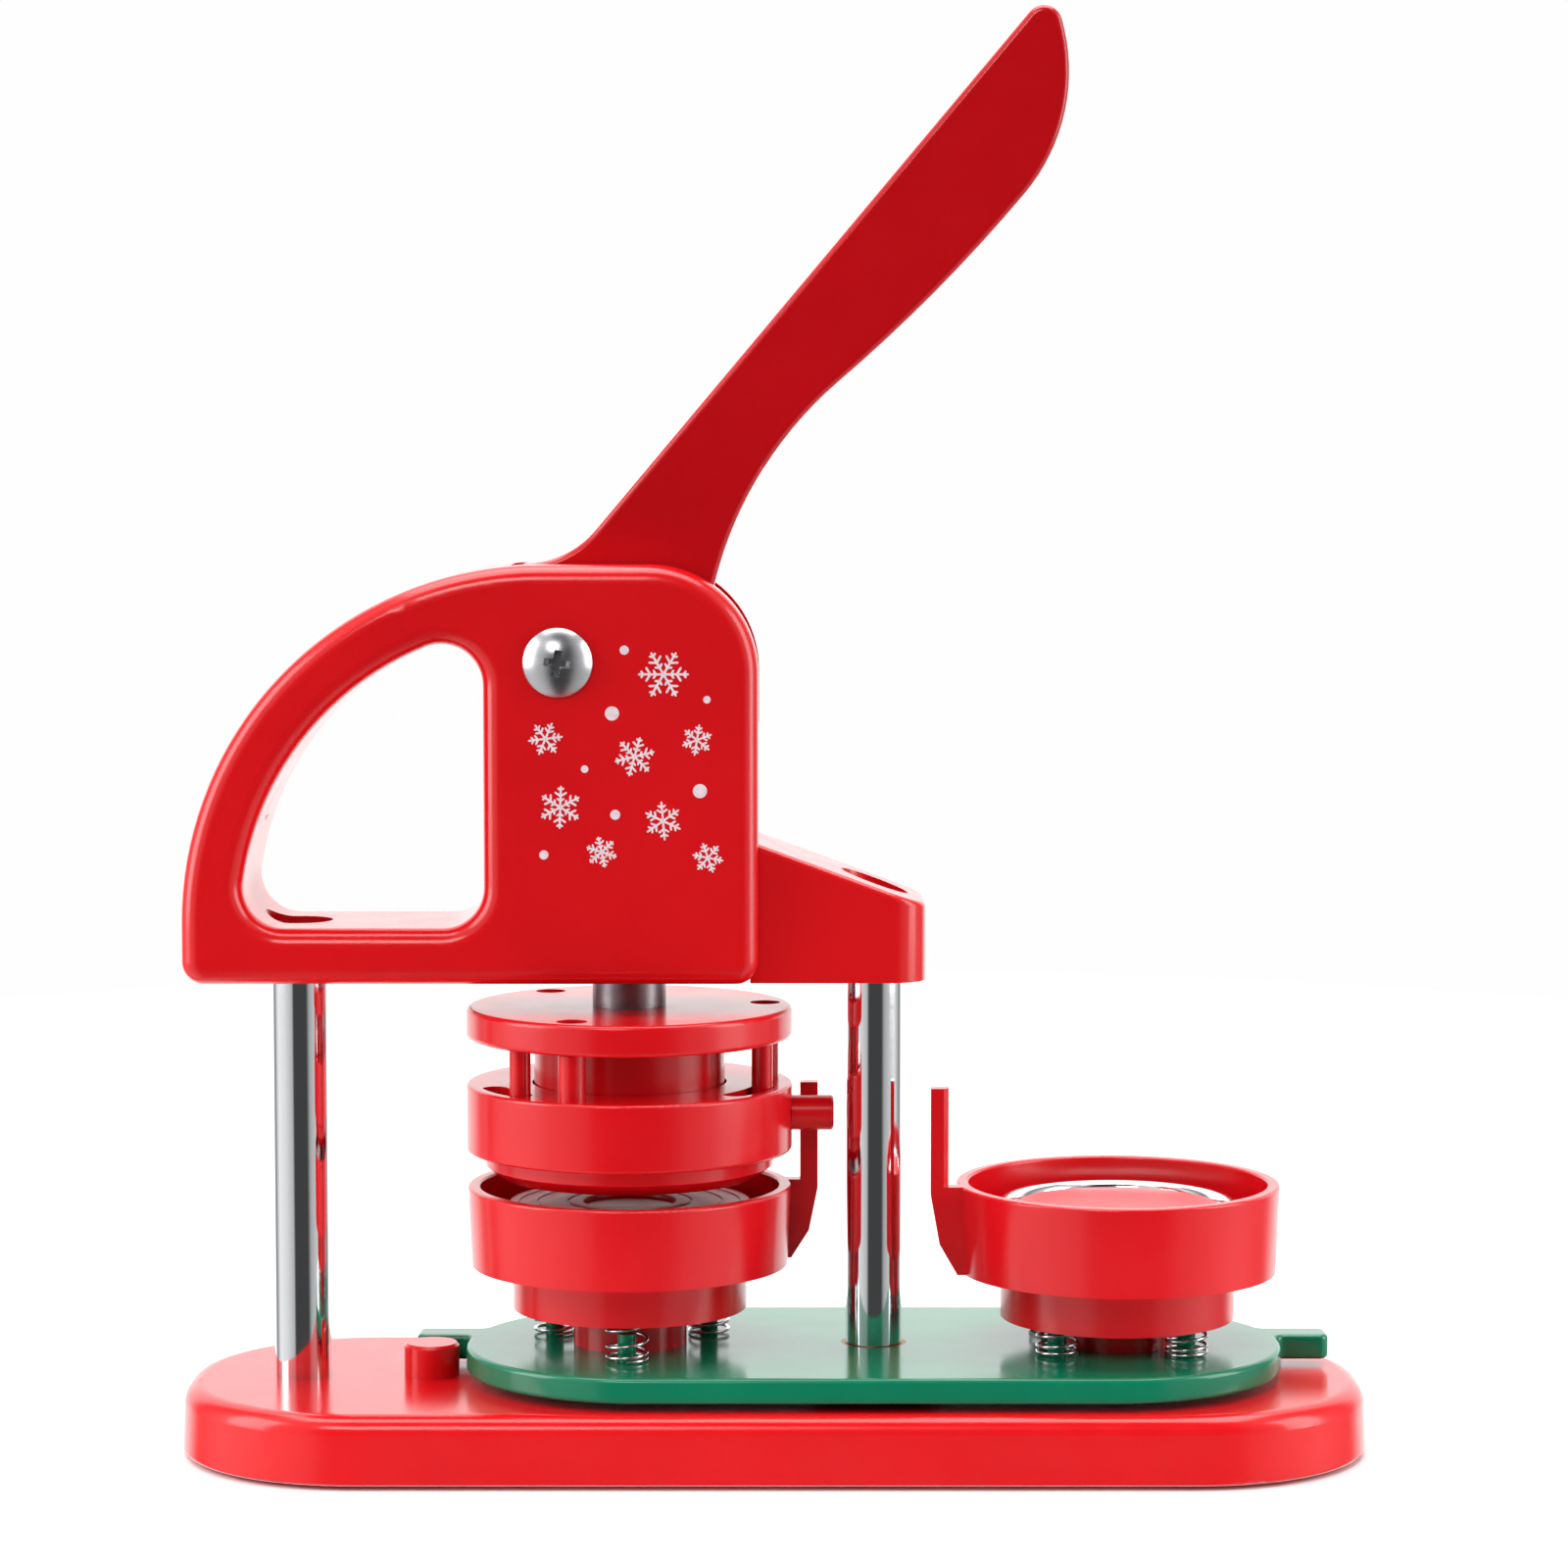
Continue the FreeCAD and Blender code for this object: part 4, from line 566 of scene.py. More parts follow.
@dataclass(frozen=True)
class SoftRubber(Finish):
    """Black moulded rubber: matt, with a dusty bloom."""

    colour: str = "1B1B1C"
    bloom: str = "2C2B2A"
    cloud_mm: float = 2.0
    grain_mm: float = 0.3
    grain_depth_mm: float = 0.02

    def paint(self, coat: Coat) -> None:
        """Clouds of bloom over a grain.

        Args:
            coat: the material's nodes.
        """
        cloud = coat.noise(self.cloud_mm, 5.0)
        coat.set({
            "Base Color": coat.tint(cloud, self.colour, self.bloom),
            "Roughness": coat.between(cloud, 0.62, 0.85),
            "Normal": coat.relief(coat.noise(self.grain_mm), self.grain_depth_mm),
            "IOR": 1.52,
        })


@dataclass(frozen=True)
class PadInk(Finish):
    """Pad-printed ink: a white film, thin enough in spots to let a little of the red through."""

    colour: str = "F6EEF4"
    thin: str = "EBC9D2"
    cover_mm: float = 1.2
    pinhole_mm: float = 0.15
    pinhole_depth_mm: float = 0.003

    def paint(self, coat: Coat) -> None:
        """Thin spots and the pad's pinholes.

        Args:
            coat: the material's nodes.
        """
        cover = coat.noise(self.cover_mm, 4.0)
        coat.set({
            "Base Color": coat.tint(cover, self.colour, self.thin),
            "Roughness": coat.between(cover, 0.35, 0.5),
            "Normal": coat.relief(coat.noise(self.pinhole_mm, 1.0), self.pinhole_depth_mm),
            "IOR": 1.5,
        })


@dataclass(frozen=True)
class PaperSweep(Finish):
    """White studio paper, laid mostly behind the object, that fades out all round. Lengths are in metres."""

    colour: str = "F6F6F5"
    behind: float = 0.35
    fade_from: float = 0.50
    fade_to: float = 0.62
    fibre_mm: float = 2.0
    fibre_depth_mm: float = 0.02

    def paint(self, coat: Coat) -> None:
        """Faint paper fibre; the far edge turns transparent.

        Args:
            coat: the material's nodes.
        """
        reach = add_node(coat.tree, "ShaderNodeVectorMath", {"operation": "DISTANCE"},
                         {0: coat.place, 1: (0, self.behind, 0)})
        near = add_node(coat.tree, "ShaderNodeMapRange", inputs={
            "Value": reach.outputs["Value"], "From Min": self.fade_from, "From Max": self.fade_to,
            "To Min": 1.0, "To Max": 0.0})
        coat.set({
            "Base Color": linear(self.colour),
            "Roughness": 0.85,
            "Normal": coat.relief(coat.noise(self.fibre_mm, 4.0), self.fibre_depth_mm),
            "Alpha": near.outputs[0],
        })


RED_ABS = MouldedAbs("red_moulded_abs", "DF1219", "D60F17", 0.19, 0.05)
RED_LEVER_ABS = MouldedAbs("red_lever_abs", "C80511", "BC0410", 0.19, 0.04)
RED_DIE_ABS = MouldedAbs("red_die_abs", "DE0D18", "D20B16", 0.21, 0.05)
RED_PEDESTAL_ABS = MouldedAbs("red_polished_abs", "DC0C1C", "CC0A18", 0.34, 0.1)
GREEN_ABS = MouldedAbs("green_moulded_abs", "00805B", "027554", 0.15, 0.03)
ROD_CHROME = HardChrome("hard_chromed_rod")
RING_CHROME = HardChrome("polished_crimp_ring", "E9E9EA", 0.07)
BOLT_NICKEL = HardChrome("nickel_plated_bolt", "C2C2C5", 0.24)
RAM_STEEL = TurnedSteel("oiled_ram_steel")
CAM_STEEL = TurnedSteel("ground_cam_steel", "A5A6A8", "8C8C90", 0.24)
SCREW_ZINC = ZincPlate("zinc_plated_screws")
SPRING_WIRE = DrawnWire("drawn_spring_wire")
BUSH_BRONZE = SinteredBronze("sintered_bronze")
WASHER_ACETAL = Acetal("natural_acetal")
FOOT_RUBBER = SoftRubber("black_rubber")
PRINT_INK = PadInk("pad_print_ink")
STUDIO_PAPER = PaperSweep("studio_paper")

NODE_FINISHES: dict[Finish, tuple[str, ...]] = {
    RED_ABS: ("base", "stop_peg", "housing_front", "housing_back"),
    RED_LEVER_ABS: ("handle",),
    RED_DIE_ABS: ("press_plate", "upper_ring", "ring_peg", "punch", "pickup_cup", "crimp_cup",
                  "pickup_column", "crimp_column"),
    RED_PEDESTAL_ABS: ("pickup_pedestal", "crimp_pedestal"),
    GREEN_ABS: ("turntable",),
    ROD_CHROME: ("left_rod", "right_rod"),
    RING_CHROME: ("crimp_ring",),
    BOLT_NICKEL: ("pivot_bolt",),
    RAM_STEEL: ("ram_shaft", "retaining_ring"),
    CAM_STEEL: ("lever_cam", "cam_pins"),
    SCREW_ZINC: ("base_bolts", "base_washers", "housing_screws", "top_bolts", "top_washers", "column_screws",
                 "ram_bolt", "pivot_nut", "pivot_washer"),
    SPRING_WIRE: ("return_spring", "pickup_springs", "crimp_springs"),
    BUSH_BRONZE: ("ram_bush", "turntable_bush", "pivot_sleeve"),
    WASHER_ACETAL: ("thrust_washer", "spacer_washers", "spring_collar"),
    FOOT_RUBBER: ("rubber_feet",),
}


def dress(piece: bpy.types.Object, finish: Finish) -> None:
    """Gives a piece its finish."""
    piece.data.materials.clear()
    piece.data.materials.append(finish.material())


def dress_nodes() -> None:
    """Gives each of the frame's nodes its finish."""
    for finish, nodes in NODE_FINISHES.items():
        for node in nodes:
            dress(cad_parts[node], finish)
        LOG.info("%s: %s", finish.name, ", ".join(nodes))


def middle(node: str) -> Vector:
    """Finds the middle of a node's box."""
    low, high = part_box(node)
    return (low + high) / 2


# --- springs -------------------------------------------------------------------------------------------


@dataclass
class CoilSpring:
    """A compression spring wound from round wire, with its end turns closed up and ground by wear.

    Lengths are in metres. The spring stands on `foot` and reaches up to `top`.
    """

    name: str
    foot: Vector
    top: float
    mean_radius: float
    wire_radius: float
    turns: float
    closed_turns: float = 0.9
    closed_pitch: float = 2.1
    easing: float = 0.05
    steps_per_turn: int = 36
    start_angle: float = 0.0

    def height_at(self, turn: float) -> float:
        """Height of the wire's centre: its turns lie close at both ends and are even between.

        Args:
            turn: how many turns it is from the foot.

        Returns:
            The height above the floor.
        """
        low = self.foot.z + self.wire_radius
        high = self.top - self.wire_radius
        closed_rise = self.closed_turns * self.wire_radius * self.closed_pitch
        if turn <= self.closed_turns:
            return low + closed_rise * turn / self.closed_turns
        if turn >= self.turns - self.closed_turns:
            return high - closed_rise * (self.turns - turn) / self.closed_turns
        share = (turn - self.closed_turns) / (self.turns - 2 * self.closed_turns)
        eased = share - self.easing * math.sin(2 * math.pi * share)
        return low + closed_rise + (high - low - 2 * closed_rise) * eased

    def wind(self) -> bpy.types.Object:
        """Winds the wire as a bevelled curve and makes it a mesh.

        Returns:
            The spring.
        """
        line = bpy.data.curves.new(self.name, "CURVE")
        line.dimensions = "3D"
        line.bevel_depth = self.wire_radius
        line.bevel_resolution = 3
        line.use_fill_caps = True
        spline = line.splines.new("POLY")
        steps = round(self.turns * self.steps_per_turn)
        spline.points.add(steps)
        for step in range(steps + 1):
            turn = step / self.steps_per_turn
            angle = self.start_angle + 2 * math.pi * turn
            point = (self.foot.x + self.mean_radius * math.cos(angle),
                     self.foot.y + self.mean_radius * math.sin(angle), self.height_at(turn), 1.0)
            spline.points[step].co = point
        spring = bpy.data.objects.new(self.name, line)
        bpy.context.collection.objects.link(spring)
        select_only(spring)
        bpy.ops.object.convert(target="MESH")
        spring = bpy.context.object
        settle(spring, 60)
        dress(spring, SPRING_WIRE)
        return spring


@dataclass
class SpringSet:
    """The springs under one cup, or the one round the ram."""

    node: str
    body: str
    joint: str
    travel: float
    mean_radius: float
    wire_radius: float
    turns: float
    axis: Vector
    circle: float = 0.0
    angles: tuple[float, ...] = (0.0,)
    stagger: float = 1.1

    def build(self) -> list[bpy.types.Object]:
        """Winds each spring where the frame has it, in place of the frame's node, and parents it to its body.

        Returns:
            The springs.
        """
        low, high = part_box(self.node)
        made = []
        for number, angle in enumerate(self.angles):
            turn = math.radians(angle)
            foot = Vector((self.axis.x + self.circle * math.cos(turn),
                           self.axis.y + self.circle * math.sin(turn), low.z))
            spring = CoilSpring(f"{self.node}_{number}", foot, high.z, self.mean_radius, self.wire_radius,
                                self.turns, start_angle=turn + self.stagger * number).wind()
            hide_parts(self.node)
            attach(spring, self.body)
            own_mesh(spring)
            made.append(spring)
        LOG.info("%s: %d wound", self.node, len(made))
        return made


# --- pivot bolt ----------------------------------------------------------------------------------------


@dataclass
class PivotBolt:
    """Truss-head bolt that the lever turns on, with a cross recess in its domed head."""

    head_radius: float = 8.5 * MM
    head_height: float = 3.4 * MM
    lip: float = 0.8 * MM
    shank_radius: float = 4.0 * MM
    recess_length: float = 9.4 * MM
    recess_width: float = 2.5 * MM
    recess_core: float = 4.6 * MM
    recess_depth: float = 2.5 * MM
    recess_turn: float = 8.0
    recess_taper: tuple[float, float, float] = (0.45, 1, 0.55)
    edge_round: float = 0.15 * MM

    def build(self) -> bpy.types.Object:
        """Cuts the dome from a ball, draws the shank out of it and sinks the recess.

        Returns:
            The bolt.
        """
        low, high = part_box("pivot_bolt")
        axis = middle("pivot_bolt")
        seat = low.y + self.head_height + self.lip
        ball = (self.head_radius ** 2 + self.head_height ** 2) / (2 * self.head_height)
        bpy.ops.object.select_all(action="DESELECT")
        bpy.ops.mesh.primitive_uv_sphere_add(segments=128, ring_count=96, radius=ball,
                                             location=(axis.x, low.y + ball, axis.z),
                                             rotation=(math.pi / 2, 0, 0))
        bolt = take_new("pivot_bolt_head")
        bpy.ops.object.mode_set(mode="EDIT")
        bpy.ops.mesh.select_all(action="SELECT")
        bpy.ops.mesh.bisect(plane_co=(0, seat - self.lip, 0), plane_no=(0, 1, 0), use_fill=True,
                            clear_outer=True)
        select_faces(bolt, lambda centre, normal: normal.y > SQUARE and centre.y > seat - 1.5 * self.lip)
        draw_out(0, self.lip, 0)
        bpy.ops.mesh.inset(thickness=self.head_radius - self.shank_radius)
        draw_out(0, high.y - seat, 0)
        bpy.ops.object.mode_set(mode="OBJECT")
        round_off(bolt, "worn_edges", self.edge_round)
        recess = self.make_recess(Vector((axis.x, low.y, axis.z)))
        combine(bolt, "recess", "DIFFERENCE", recess)
        apply_modifiers(bolt)
        bpy.data.objects.remove(recess)
        settle(bolt, 30)
        dress(bolt, BOLT_NICKEL)
        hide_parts("pivot_bolt")
        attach(bolt, "frame")
        LOG.info("pivot bolt with a %.1f mm head", 2 * self.head_radius / MM)
        return bolt

    def make_recess(self, crown: Vector) -> bpy.types.Object:
        """The tapered cross that is cut from the head.

        Args:
            crown: the middle of the domed face.

        Returns:
            The cutter, to be deleted after use.
        """
        shapes = (
            (self.recess_turn, self.recess_length, self.recess_width),
            (self.recess_turn + 90, self.recess_length, self.recess_width),
            (self.recess_turn + 45, self.recess_core, self.recess_core),
        )
        blades = []
        for turn, length, width in shapes:
            bpy.ops.object.select_all(action="DESELECT")
            bpy.ops.mesh.primitive_cube_add(size=1)
            blade = bpy.context.object
            blade.scale = (length, 2 * self.recess_depth, width)
            bpy.ops.object.transform_apply(location=False, rotation=False, scale=True)
            select_faces(blade, lambda _, normal: normal.y > FACING)
            bpy.ops.transform.resize(value=self.recess_taper)
            bpy.ops.object.mode_set(mode="OBJECT")
            blade.matrix_world = Matrix.Translation(crown) @ Matrix.Rotation(math.radians(turn), 4, "Y")
            blades.append(blade)
        for number, blade in enumerate(blades[1:]):
            combine(blades[0], f"join_{number}", "UNION", blade)
        apply_modifiers(blades[0])
        for blade in blades[1:]:
            bpy.data.objects.remove(blade)
        return blades[0]


# --- rods and crimping ring ----------------------------------------------------------------------------


@dataclass
class ChromedRod:
    """Round column with chamfered ends and a threaded hole in each; one has a thinner journal below."""

    node: str
    journal_radius: float = 0.0
    chamfer: float = 0.6 * MM
    upper_hole: float = 4.0 * MM
    lower_hole: float = 3.0 * MM
    hole_depth: float = 14.0 * MM
    shoulder_gap: float = 0.1 * MM
    sides: int = 144

    def build(self) -> bpy.types.Object:
        """Draws the column, turns its journal down, and sinks the holes in its ends.

        Returns:
            The rod.
        """
        low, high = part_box(self.node)
        radius = (high.x - low.x) / 2
        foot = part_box("turntable_bush")[1].z + self.shoulder_gap if self.journal_radius else low.z
        bpy.ops.object.select_all(action="DESELECT")
        bpy.ops.mesh.primitive_cylinder_add(vertices=self.sides, radius=radius, depth=high.z - foot,
                                            location=((low.x + high.x) / 2, (low.y + high.y) / 2,
                                                      (foot + high.z) / 2))
        rod = take_new(f"polished_{self.node}")
        select_faces(rod, lambda _, normal: normal.z < -FACING)
        width = radius
        if self.journal_radius:
            width = self.journal_radius
            bpy.ops.mesh.inset(thickness=radius - width)
            draw_out(0, 0, low.z - foot)
        bpy.ops.mesh.inset(thickness=width - self.lower_hole)
        draw_out(0, 0, self.hole_depth)
        bpy.ops.object.mode_set(mode="OBJECT")
        select_edges(rod, lambda place: place.z > high.z - FLUSH)
        bpy.ops.mesh.bevel(offset=self.chamfer, segments=1)
        bpy.ops.object.mode_set(mode="OBJECT")
        select_faces(rod, lambda centre, normal: normal.z > FACING and centre.z > high.z - FLUSH)
        bpy.ops.mesh.inset(thickness=radius - self.chamfer - self.upper_hole)
        draw_out(0, 0, -self.hole_depth)
        bpy.ops.object.mode_set(mode="OBJECT")
        settle(rod, 30)
        dress(rod, ROD_CHROME)
        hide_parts(self.node)
        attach(rod, "frame")
        LOG.info("%s: %.1f mm across", rod.name, 2 * radius / MM)
        return rod


@dataclass
class CrimpRing:
    """Bright ring that rolls the badge's rim under: a flat tube with a fully rounded crown."""

    node: str = "crimp_ring"
    wall: float = 4.9 * MM
    crown: float = 2.2 * MM
    crown_steps: int = 8
    sides: int = 144

    def build(self) -> bpy.types.Object:
        """Bores a disc through and rounds both of its upper rims.

        Returns:
            The ring.
        """
        low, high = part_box(self.node)
        radius = (high.y - low.y) / 2
        bpy.ops.object.select_all(action="DESELECT")
        bpy.ops.mesh.primitive_cylinder_add(vertices=self.sides, radius=radius, depth=high.z - low.z,
                                            location=(low + high) / 2)
        ring = take_new("bright_crimp_ring")
        select_faces(ring, lambda _, normal: abs(normal.z) > FACING)
        bpy.ops.mesh.inset(thickness=self.wall)
        bpy.ops.mesh.bridge_edge_loops()
        bpy.ops.object.mode_set(mode="OBJECT")
        select_faces(ring, lambda centre, normal: normal.z > FACING and centre.z > high.z - FLUSH)
        bpy.ops.mesh.region_to_loop()
        bpy.ops.mesh.bevel(offset=self.crown, segments=self.crown_steps)
        bpy.ops.object.mode_set(mode="OBJECT")
        settle(ring, 50)
        dress(ring, RING_CHROME)
        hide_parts(self.node)
        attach(ring, "turntable")
        LOG.info("crimping ring, %.1f mm across", 2 * radius / MM)
        return ring


# --- die face ------------------------------------------------------------------------------------------


@dataclass
class GroovedDieFace:
    """Polished pick-up die: a round block whose face has rings turned in it round a shallow seat."""

    node: str = "pickup_pedestal"
    seat_radius: float = 11.5 * MM
    seat_depth: float = 1.0 * MM
    groove_depth: float = 0.35 * MM
    groove_width: float = 0.6 * MM
    grooves: tuple[float, ...] = (27.4 * MM, 23.0 * MM, 15.5 * MM)
    edge_round: float = 0.12 * MM
    bore_radius: float = 3.1 * MM
    bore_depth: float = 6.0 * MM
    sides: int = 160

    def build(self) -> bpy.types.Object:
        """Insets the face ring by ring and sinks each groove, then the seat and the screw hole below.

        Returns:
            The die.
        """
        low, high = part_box(self.node)
        radius = (high.y - low.y) / 2
        bpy.ops.object.select_all(action="DESELECT")
        bpy.ops.mesh.primitive_cylinder_add(vertices=self.sides, radius=radius, depth=high.z - low.z,
                                            location=(low + high) / 2)
        die = take_new("grooved_die_face")
        select_faces(die, lambda _, normal: normal.z > SQUARE)
        edge = radius
        for groove in self.grooves:
            bpy.ops.mesh.inset(thickness=edge - groove)
            draw_out(0, 0, -self.groove_depth)
            bpy.ops.mesh.inset(thickness=self.groove_width)
            draw_out(0, 0, self.groove_depth)
            edge = groove - self.groove_width
        bpy.ops.mesh.inset(thickness=edge - self.seat_radius)
        draw_out(0, 0, -self.seat_depth)
        select_faces(die, lambda _, normal: normal.z < -SQUARE)
        bpy.ops.mesh.inset(thickness=radius - self.bore_radius)
        draw_out(0, 0, self.bore_depth)
        bpy.ops.object.mode_set(mode="OBJECT")
        round_off(die, "turned_edges", self.edge_round)
        apply_modifiers(die)
        settle(die, 30)
        dress(die, RED_PEDESTAL_ABS)
        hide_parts(self.node)
        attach(die, "turntable")
        LOG.info("die face with %d rings", len(self.grooves))
        return die


# --- print on the housing ------------------------------------------------------------------------------


class FlakeStyle(Enum):
    """The two patterns of printed flake: how far along each arm its twigs stand, and how long they are."""

    FERN = ((0.42, 0.34), (0.68, 0.24))
    STAR = ((0.30, 0.20), (0.52, 0.36), (0.80, 0.16))


@dataclass
class PrintedFlake:
    """Six-armed flake, as a thin film of ink."""

    style: FlakeStyle
    radius: float
    line: float = 0.5 * MM
    twig_angle: float = 58.0
    twig_share: float = 0.8
    film: float = 0.06 * MM
    point_length: float = 0.5
    point_width: float = 0.35
    root_lift: float = 0.2
    tip_cut: float = 0.7

    def add_bar(self, start: Vector, angle: float, length: float) -> bpy.types.Object:
        """Draws one stroke of the print, with a blunt pointed end, lying in the X, Z plane.

        Args:
            start: where it begins.
            angle: its direction, in radians.
            length: how long it is without its point.

        Returns:
            The stroke.
        """
        bpy.ops.object.select_all(action="DESELECT")
        bpy.ops.mesh.primitive_cube_add(size=1, location=(0.5, 0, 0))
        bar = bpy.context.object
        bpy.ops.object.transform_apply(location=True, rotation=False, scale=False)
        bar.scale = (length, self.film, self.line)
        bpy.ops.object.transform_apply(location=False, rotation=False, scale=True)
        select_faces(bar, lambda _, normal: normal.x > FACING)
        draw_out(self.line * self.point_length, 0, 0)
        bpy.ops.transform.resize(value=(1, 1, self.point_width))
        bpy.ops.object.mode_set(mode="OBJECT")
        bar.matrix_world = Matrix.Translation(start) @ Matrix.Rotation(-angle, 4, "Y")
        bpy.ops.object.transform_apply(location=True, rotation=True, scale=True)
        return bar

    def build(self, name: str, centre: Vector, turn: float) -> bpy.types.Object:
        """Draws one arm, copies it round and joins the strokes to one film.

        Args:
            name: the piece's name.
            centre: where its middle goes.
            turn: how far it is turned in the plane of the print, in degrees.

        Returns:
            The flake.
        """
        strokes = []
        for arm in range(6):
            along = math.radians(60 * arm + turn)
            way = Vector((math.cos(along), 0, math.sin(along)))
            strokes.append(self.add_bar(way * self.line * self.root_lift, along,
                                        self.radius - self.line * self.tip_cut))
            for place, length in self.style.value:
                for side in (-1, 1):
                    lean = along + side * math.radians(self.twig_angle)
                    strokes.append(self.add_bar(way * self.radius * place, lean,
                                                self.radius * length * self.twig_share))
        select_only(*strokes[1:])
        bpy.ops.object.join()
        rest = bpy.context.object
        flake = strokes[0]
        flake.name = name
        combine(flake, "one_film", "UNION", rest).use_self = True
        apply_modifiers(flake)
        bpy.data.objects.remove(rest)
        flake.location = centre
        settle(flake, 30)
        return flake


@dataclass
class PrintedPanel:
    """Winter print on the front shell: flakes and dots of ink, centred on the places given in millimetres."""

    flakes: tuple[tuple[float, float, float], ...] = (
        (-26.5, 192.8, 6.1), (-54.9, 177.3, 4.2), (-33.5, 173.0, 4.9), (-18.5, 177.0, 3.8),
        (-51.4, 160.8, 5.2), (-26.7, 157.5, 4.7), (-41.5, 150.0, 3.8), (-15.9, 148.6, 3.8),
    )
    dots: tuple[tuple[float, float, float], ...] = (
        (-35.9, 198.6, 1.1), (-38.9, 183.4, 1.7), (-16.1, 186.7, 0.9), (-45.5, 170.0, 0.9),
        (-17.8, 164.7, 1.7), (-38.2, 159.0, 1.2), (-55.4, 149.3, 1.1),
    )
    film: float = 0.06 * MM
    thinnest_line: float = 0.34
    line_growth: float = 0.035
    turn_step: float = 7.0
    dot_sides: int = 48
    dot_rim: float = 0.35
    dot_crown: float = 0.3

    def build(self) -> list[bpy.types.Object]:
        """Prints the flakes and the dots on the shell's front face.

        Returns:
            The flakes and then the dots.
        """
        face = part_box("housing_front")[0].y
        made = []
        for number, (across, up, radius) in enumerate(self.flakes):
            style = FlakeStyle.FERN if number % 2 else FlakeStyle.STAR
            line = (self.thinnest_line + self.line_growth * radius) * MM
            flake = PrintedFlake(style, radius * MM, line, film=self.film)
            centre = Vector((across * MM, face - self.film / 2, up * MM))
            made.append(flake.build(f"printed_flake_{number}", centre, self.turn_step * number))
        for number, (across, up, radius) in enumerate(self.dots):
            centre = Vector((across * MM, face, up * MM))
            made.append(self.print_dot(f"printed_dot_{number}", centre, radius * MM))
        for piece in made:
            dress(piece, PRINT_INK)
            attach(piece, "frame")
        LOG.info("print: %d flakes and %d dots", len(self.flakes), len(self.dots))
        return made

    def print_dot(self, name: str, centre: Vector, radius: float) -> bpy.types.Object:
        """Prints one dot of ink, thicker in the middle than at its rim.

        Args:
            name: the piece's name.
            centre: its middle, on the shell's face.
            radius: its radius.

        Returns:
            The dot.
        """
        bpy.ops.object.select_all(action="DESELECT")
        bpy.ops.mesh.primitive_cylinder_add(vertices=self.dot_sides, radius=radius, depth=self.film,
                                            location=centre - Vector((0, self.film / 2, 0)),
                                            rotation=(math.pi / 2, 0, 0))
        dot = take_new(name)
        select_faces(dot, lambda _, normal: normal.y < -FACING)
        bpy.ops.mesh.inset(thickness=radius * self.dot_rim)
        bpy.ops.transform.translate(value=(0, -self.film * self.dot_crown, 0))
        bpy.ops.object.mode_set(mode="OBJECT")
        settle(dot, 30)
        return dot


# --- studio --------------------------------------------------------------------------------------------


@dataclass
class Lamp:
    """A softbox: where it hangs, how large it is and how strong."""

    name: str
    place: tuple[float, float, float]
    width: float
    height: float
    power: float
    colour: str = "FFFFFF"

    def hang(self, target: Vector) -> None:
        """Hangs the softbox.

        Args:
            target: the point that it faces.
        """
        light = bpy.data.lights.new(self.name, "AREA")
        light.shape = "RECTANGLE"
        light.size = self.width
        light.size_y = self.height
        light.energy = self.power
        light.color = linear(self.colour)[:3]
        lamp = bpy.data.objects.new(self.name, light)
        bpy.context.collection.objects.link(lamp)
        lamp.location = self.place
        lamp.rotation_euler = (target - lamp.location).to_track_quat("-Z", "Y").to_euler()


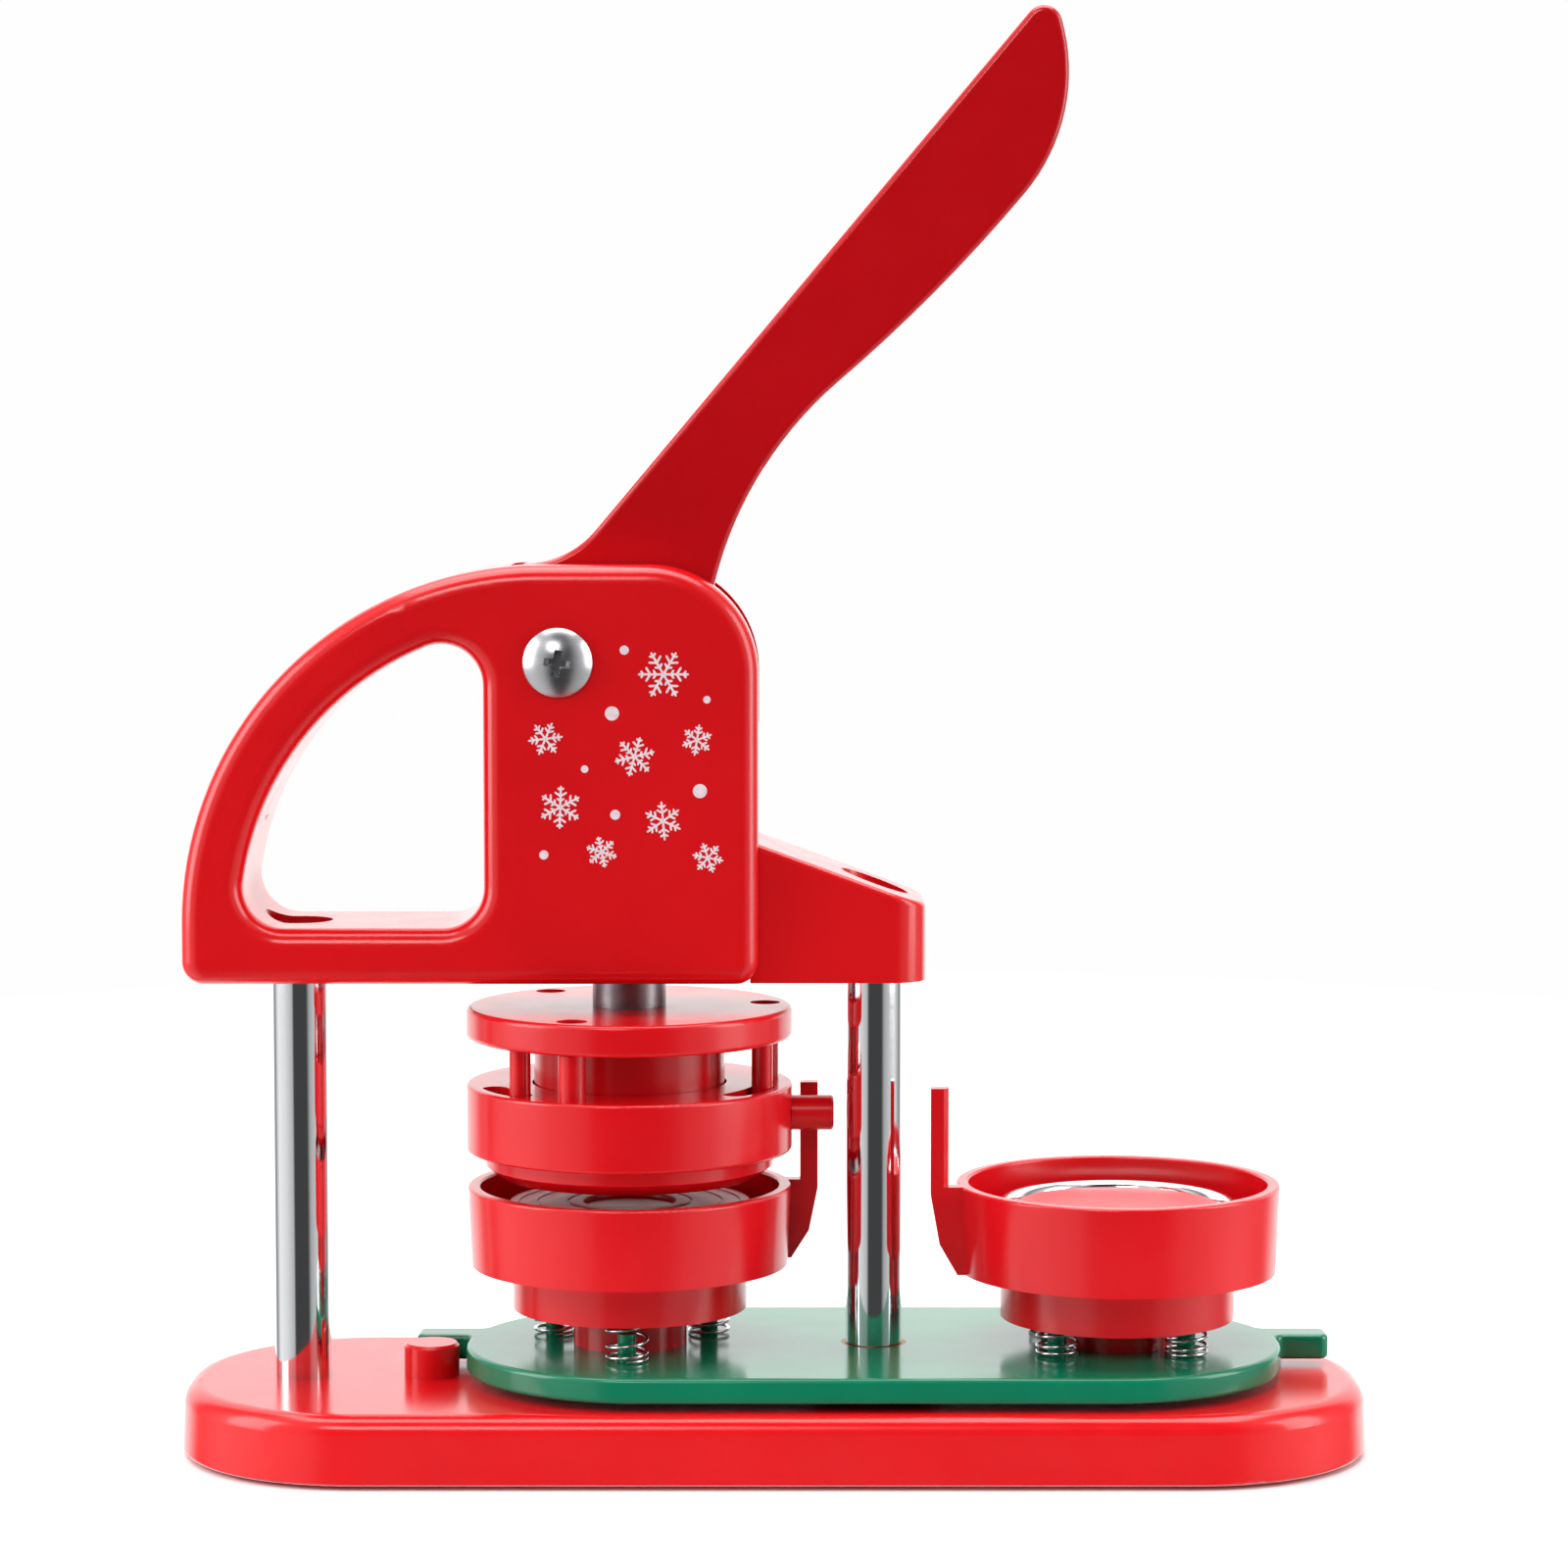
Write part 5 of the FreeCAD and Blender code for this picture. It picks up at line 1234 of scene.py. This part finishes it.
@dataclass
class Studio:
    """Pale floor, soft lamps, surroundings and camera."""

    floor_radius: float = 4.0
    camera_place: Vector = Vector((2.4 * MM, -1056 * MM, 248.6 * MM))
    camera_aim: Vector = Vector((2.4 * MM, 0, 164.6 * MM))
    lens_mm: float = 99.0
    sensor_mm: float = 36.0
    lamp_aim: Vector = Vector((0, 0, 150 * MM))
    lamps: tuple[Lamp, ...] = (
        Lamp("left_softbox", (-1.4, -0.35, 0.6), 0.8, 1.3, 13.0),
        Lamp("right_softbox", (1.4, -0.3, 0.55), 0.7, 1.3, 11.0),
        Lamp("top_softbox", (0.0, 0.15, 1.6), 1.6, 1.2, 24.0),
        Lamp("front_fill", (-0.5, -1.9, 1.55), 0.9, 0.7, 12.0),
    )
    backdrop: str = "FEFEFE"
    brightest: float = 2.0
    walls: tuple[tuple[float, float], ...] = (
        (-90, 1.0), (-60, 0.85), (-30, 0.55), (-22, 0.06), (30, 0.06), (42, 0.45), (90, 0.9), (120, 0.3),
        (128, 0.3), (142, 1.6), (220, 1.6), (232, 0.3), (240, 0.3), (262, 1.0),
    )

    def build(self) -> None:
        """Lays the floor, lights the room and places the camera."""
        self.lay_floor()
        self.paint_room()
        for lamp in self.lamps:
            lamp.hang(self.lamp_aim)
        self.place_camera()

    def lay_floor(self) -> None:
        """Lays a round, flat sheet of paper, which shows no reflection of itself in polished parts."""
        bpy.ops.object.select_all(action="DESELECT")
        bpy.ops.mesh.primitive_circle_add(vertices=96, radius=self.floor_radius, fill_type="NGON")
        floor = bpy.context.object
        floor.name = "paper_floor"
        bpy.ops.object.mode_set(mode="EDIT")
        bpy.ops.mesh.select_all(action="SELECT")
        bpy.ops.mesh.inset(thickness=self.floor_radius * 0.5)
        bpy.ops.object.mode_set(mode="OBJECT")
        floor.visible_glossy = False
        dress(floor, STUDIO_PAPER)

    def paint_room(self) -> None:
        """Surrounds the object with walls of differing brightness, each at a bearing in degrees.

        Bearing 0 is behind the camera. The dark gap there and the two dark flags far to the sides are what
        the rods mirror as dark stripes. The camera itself sees an even backdrop instead of the walls.
        """
        world = bpy.data.worlds.new("studio_room")
        bpy.context.scene.world = world
        world.use_nodes = True
        tree = world.node_tree
        tree.nodes.clear()
        way = add_node(tree, "ShaderNodeTexCoord").outputs["Generated"]
        round_room = add_node(tree, "ShaderNodeTexGradient", {"gradient_type": "RADIAL"}, {"Vector": way})
        walls = add_node(tree, "ShaderNodeValToRGB", inputs={"Fac": round_room.outputs["Fac"]})
        stops = walls.color_ramp.elements
        for number, (bearing, brightness) in enumerate(self.walls):
            place = bearing / 360 + 0.25
            stop = stops[number] if number < len(stops) else stops.new(place)
            stop.position = place
            level = brightness / self.brightest
            stop.color = (level, level, level, 1.0)
        room = add_node(tree, "ShaderNodeBackground", inputs={
            "Color": walls.outputs["Color"], "Strength": self.brightest})
        backdrop = add_node(tree, "ShaderNodeBackground", inputs={
            "Color": linear(self.backdrop), "Strength": 1.0})
        seen = add_node(tree, "ShaderNodeLightPath").outputs["Is Camera Ray"]
        mix = add_node(tree, "ShaderNodeMixShader", inputs={
            0: seen, 1: room.outputs[0], 2: backdrop.outputs[0]})
        add_node(tree, "ShaderNodeOutputWorld", inputs={"Surface": mix.outputs[0]})

    def place_camera(self) -> None:
        """Places the camera about a metre in front, a little above the middle of the object."""
        view = bpy.data.cameras.new("front_camera")
        view.lens = self.lens_mm
        view.sensor_width = self.sensor_mm
        camera = bpy.data.objects.new("front_camera", view)
        bpy.context.collection.objects.link(camera)
        camera.location = self.camera_place
        camera.rotation_euler = (self.camera_aim - self.camera_place).to_track_quat("-Z", "Y").to_euler()
        bpy.context.scene.camera = camera
        bpy.context.scene.view_settings.view_transform = "Standard"


# --- the whole object ----------------------------------------------------------------------------------


def make_springs() -> None:
    """Winds all the springs where the frame has them."""
    pickup = middle("pickup_column")
    crimp = middle("crimp_column")
    ram = middle("ram_shaft")
    sets = (
        SpringSet("pickup_springs", "turntable", "pickup_cup_slide", travel=7 * MM, mean_radius=4.9 * MM,
                  wire_radius=0.45 * MM, turns=5.5, axis=pickup, circle=22.3 * MM,
                  angles=(-90.0, 30.0, 150.0)),
        SpringSet("crimp_springs", "turntable", "crimp_cup_slide", travel=6 * MM, mean_radius=4.9 * MM,
                  wire_radius=0.45 * MM, turns=6.5, axis=crimp, circle=22.3 * MM,
                  angles=(45.0, 135.0, 225.0, 315.0)),
        SpringSet("return_spring", "frame", "ram_slide", travel=8 * MM, mean_radius=11.7 * MM,
                  wire_radius=1.0 * MM, turns=6.0, axis=ram),
    )
    for one in sets:
        one.build()


def main() -> None:
    """Builds and dresses the object, then the studio."""
    logging.basicConfig(level=logging.INFO, format="%(name)s: %(message)s")
    dress_nodes()
    make_springs()
    ChromedRod("left_rod").build()
    ChromedRod("right_rod", journal_radius=5.5 * MM).build()
    CrimpRing().build()
    PivotBolt().build()
    GroovedDieFace().build()
    PrintedPanel().build()
    Studio().build()


if __name__ == "__main__":
    main()
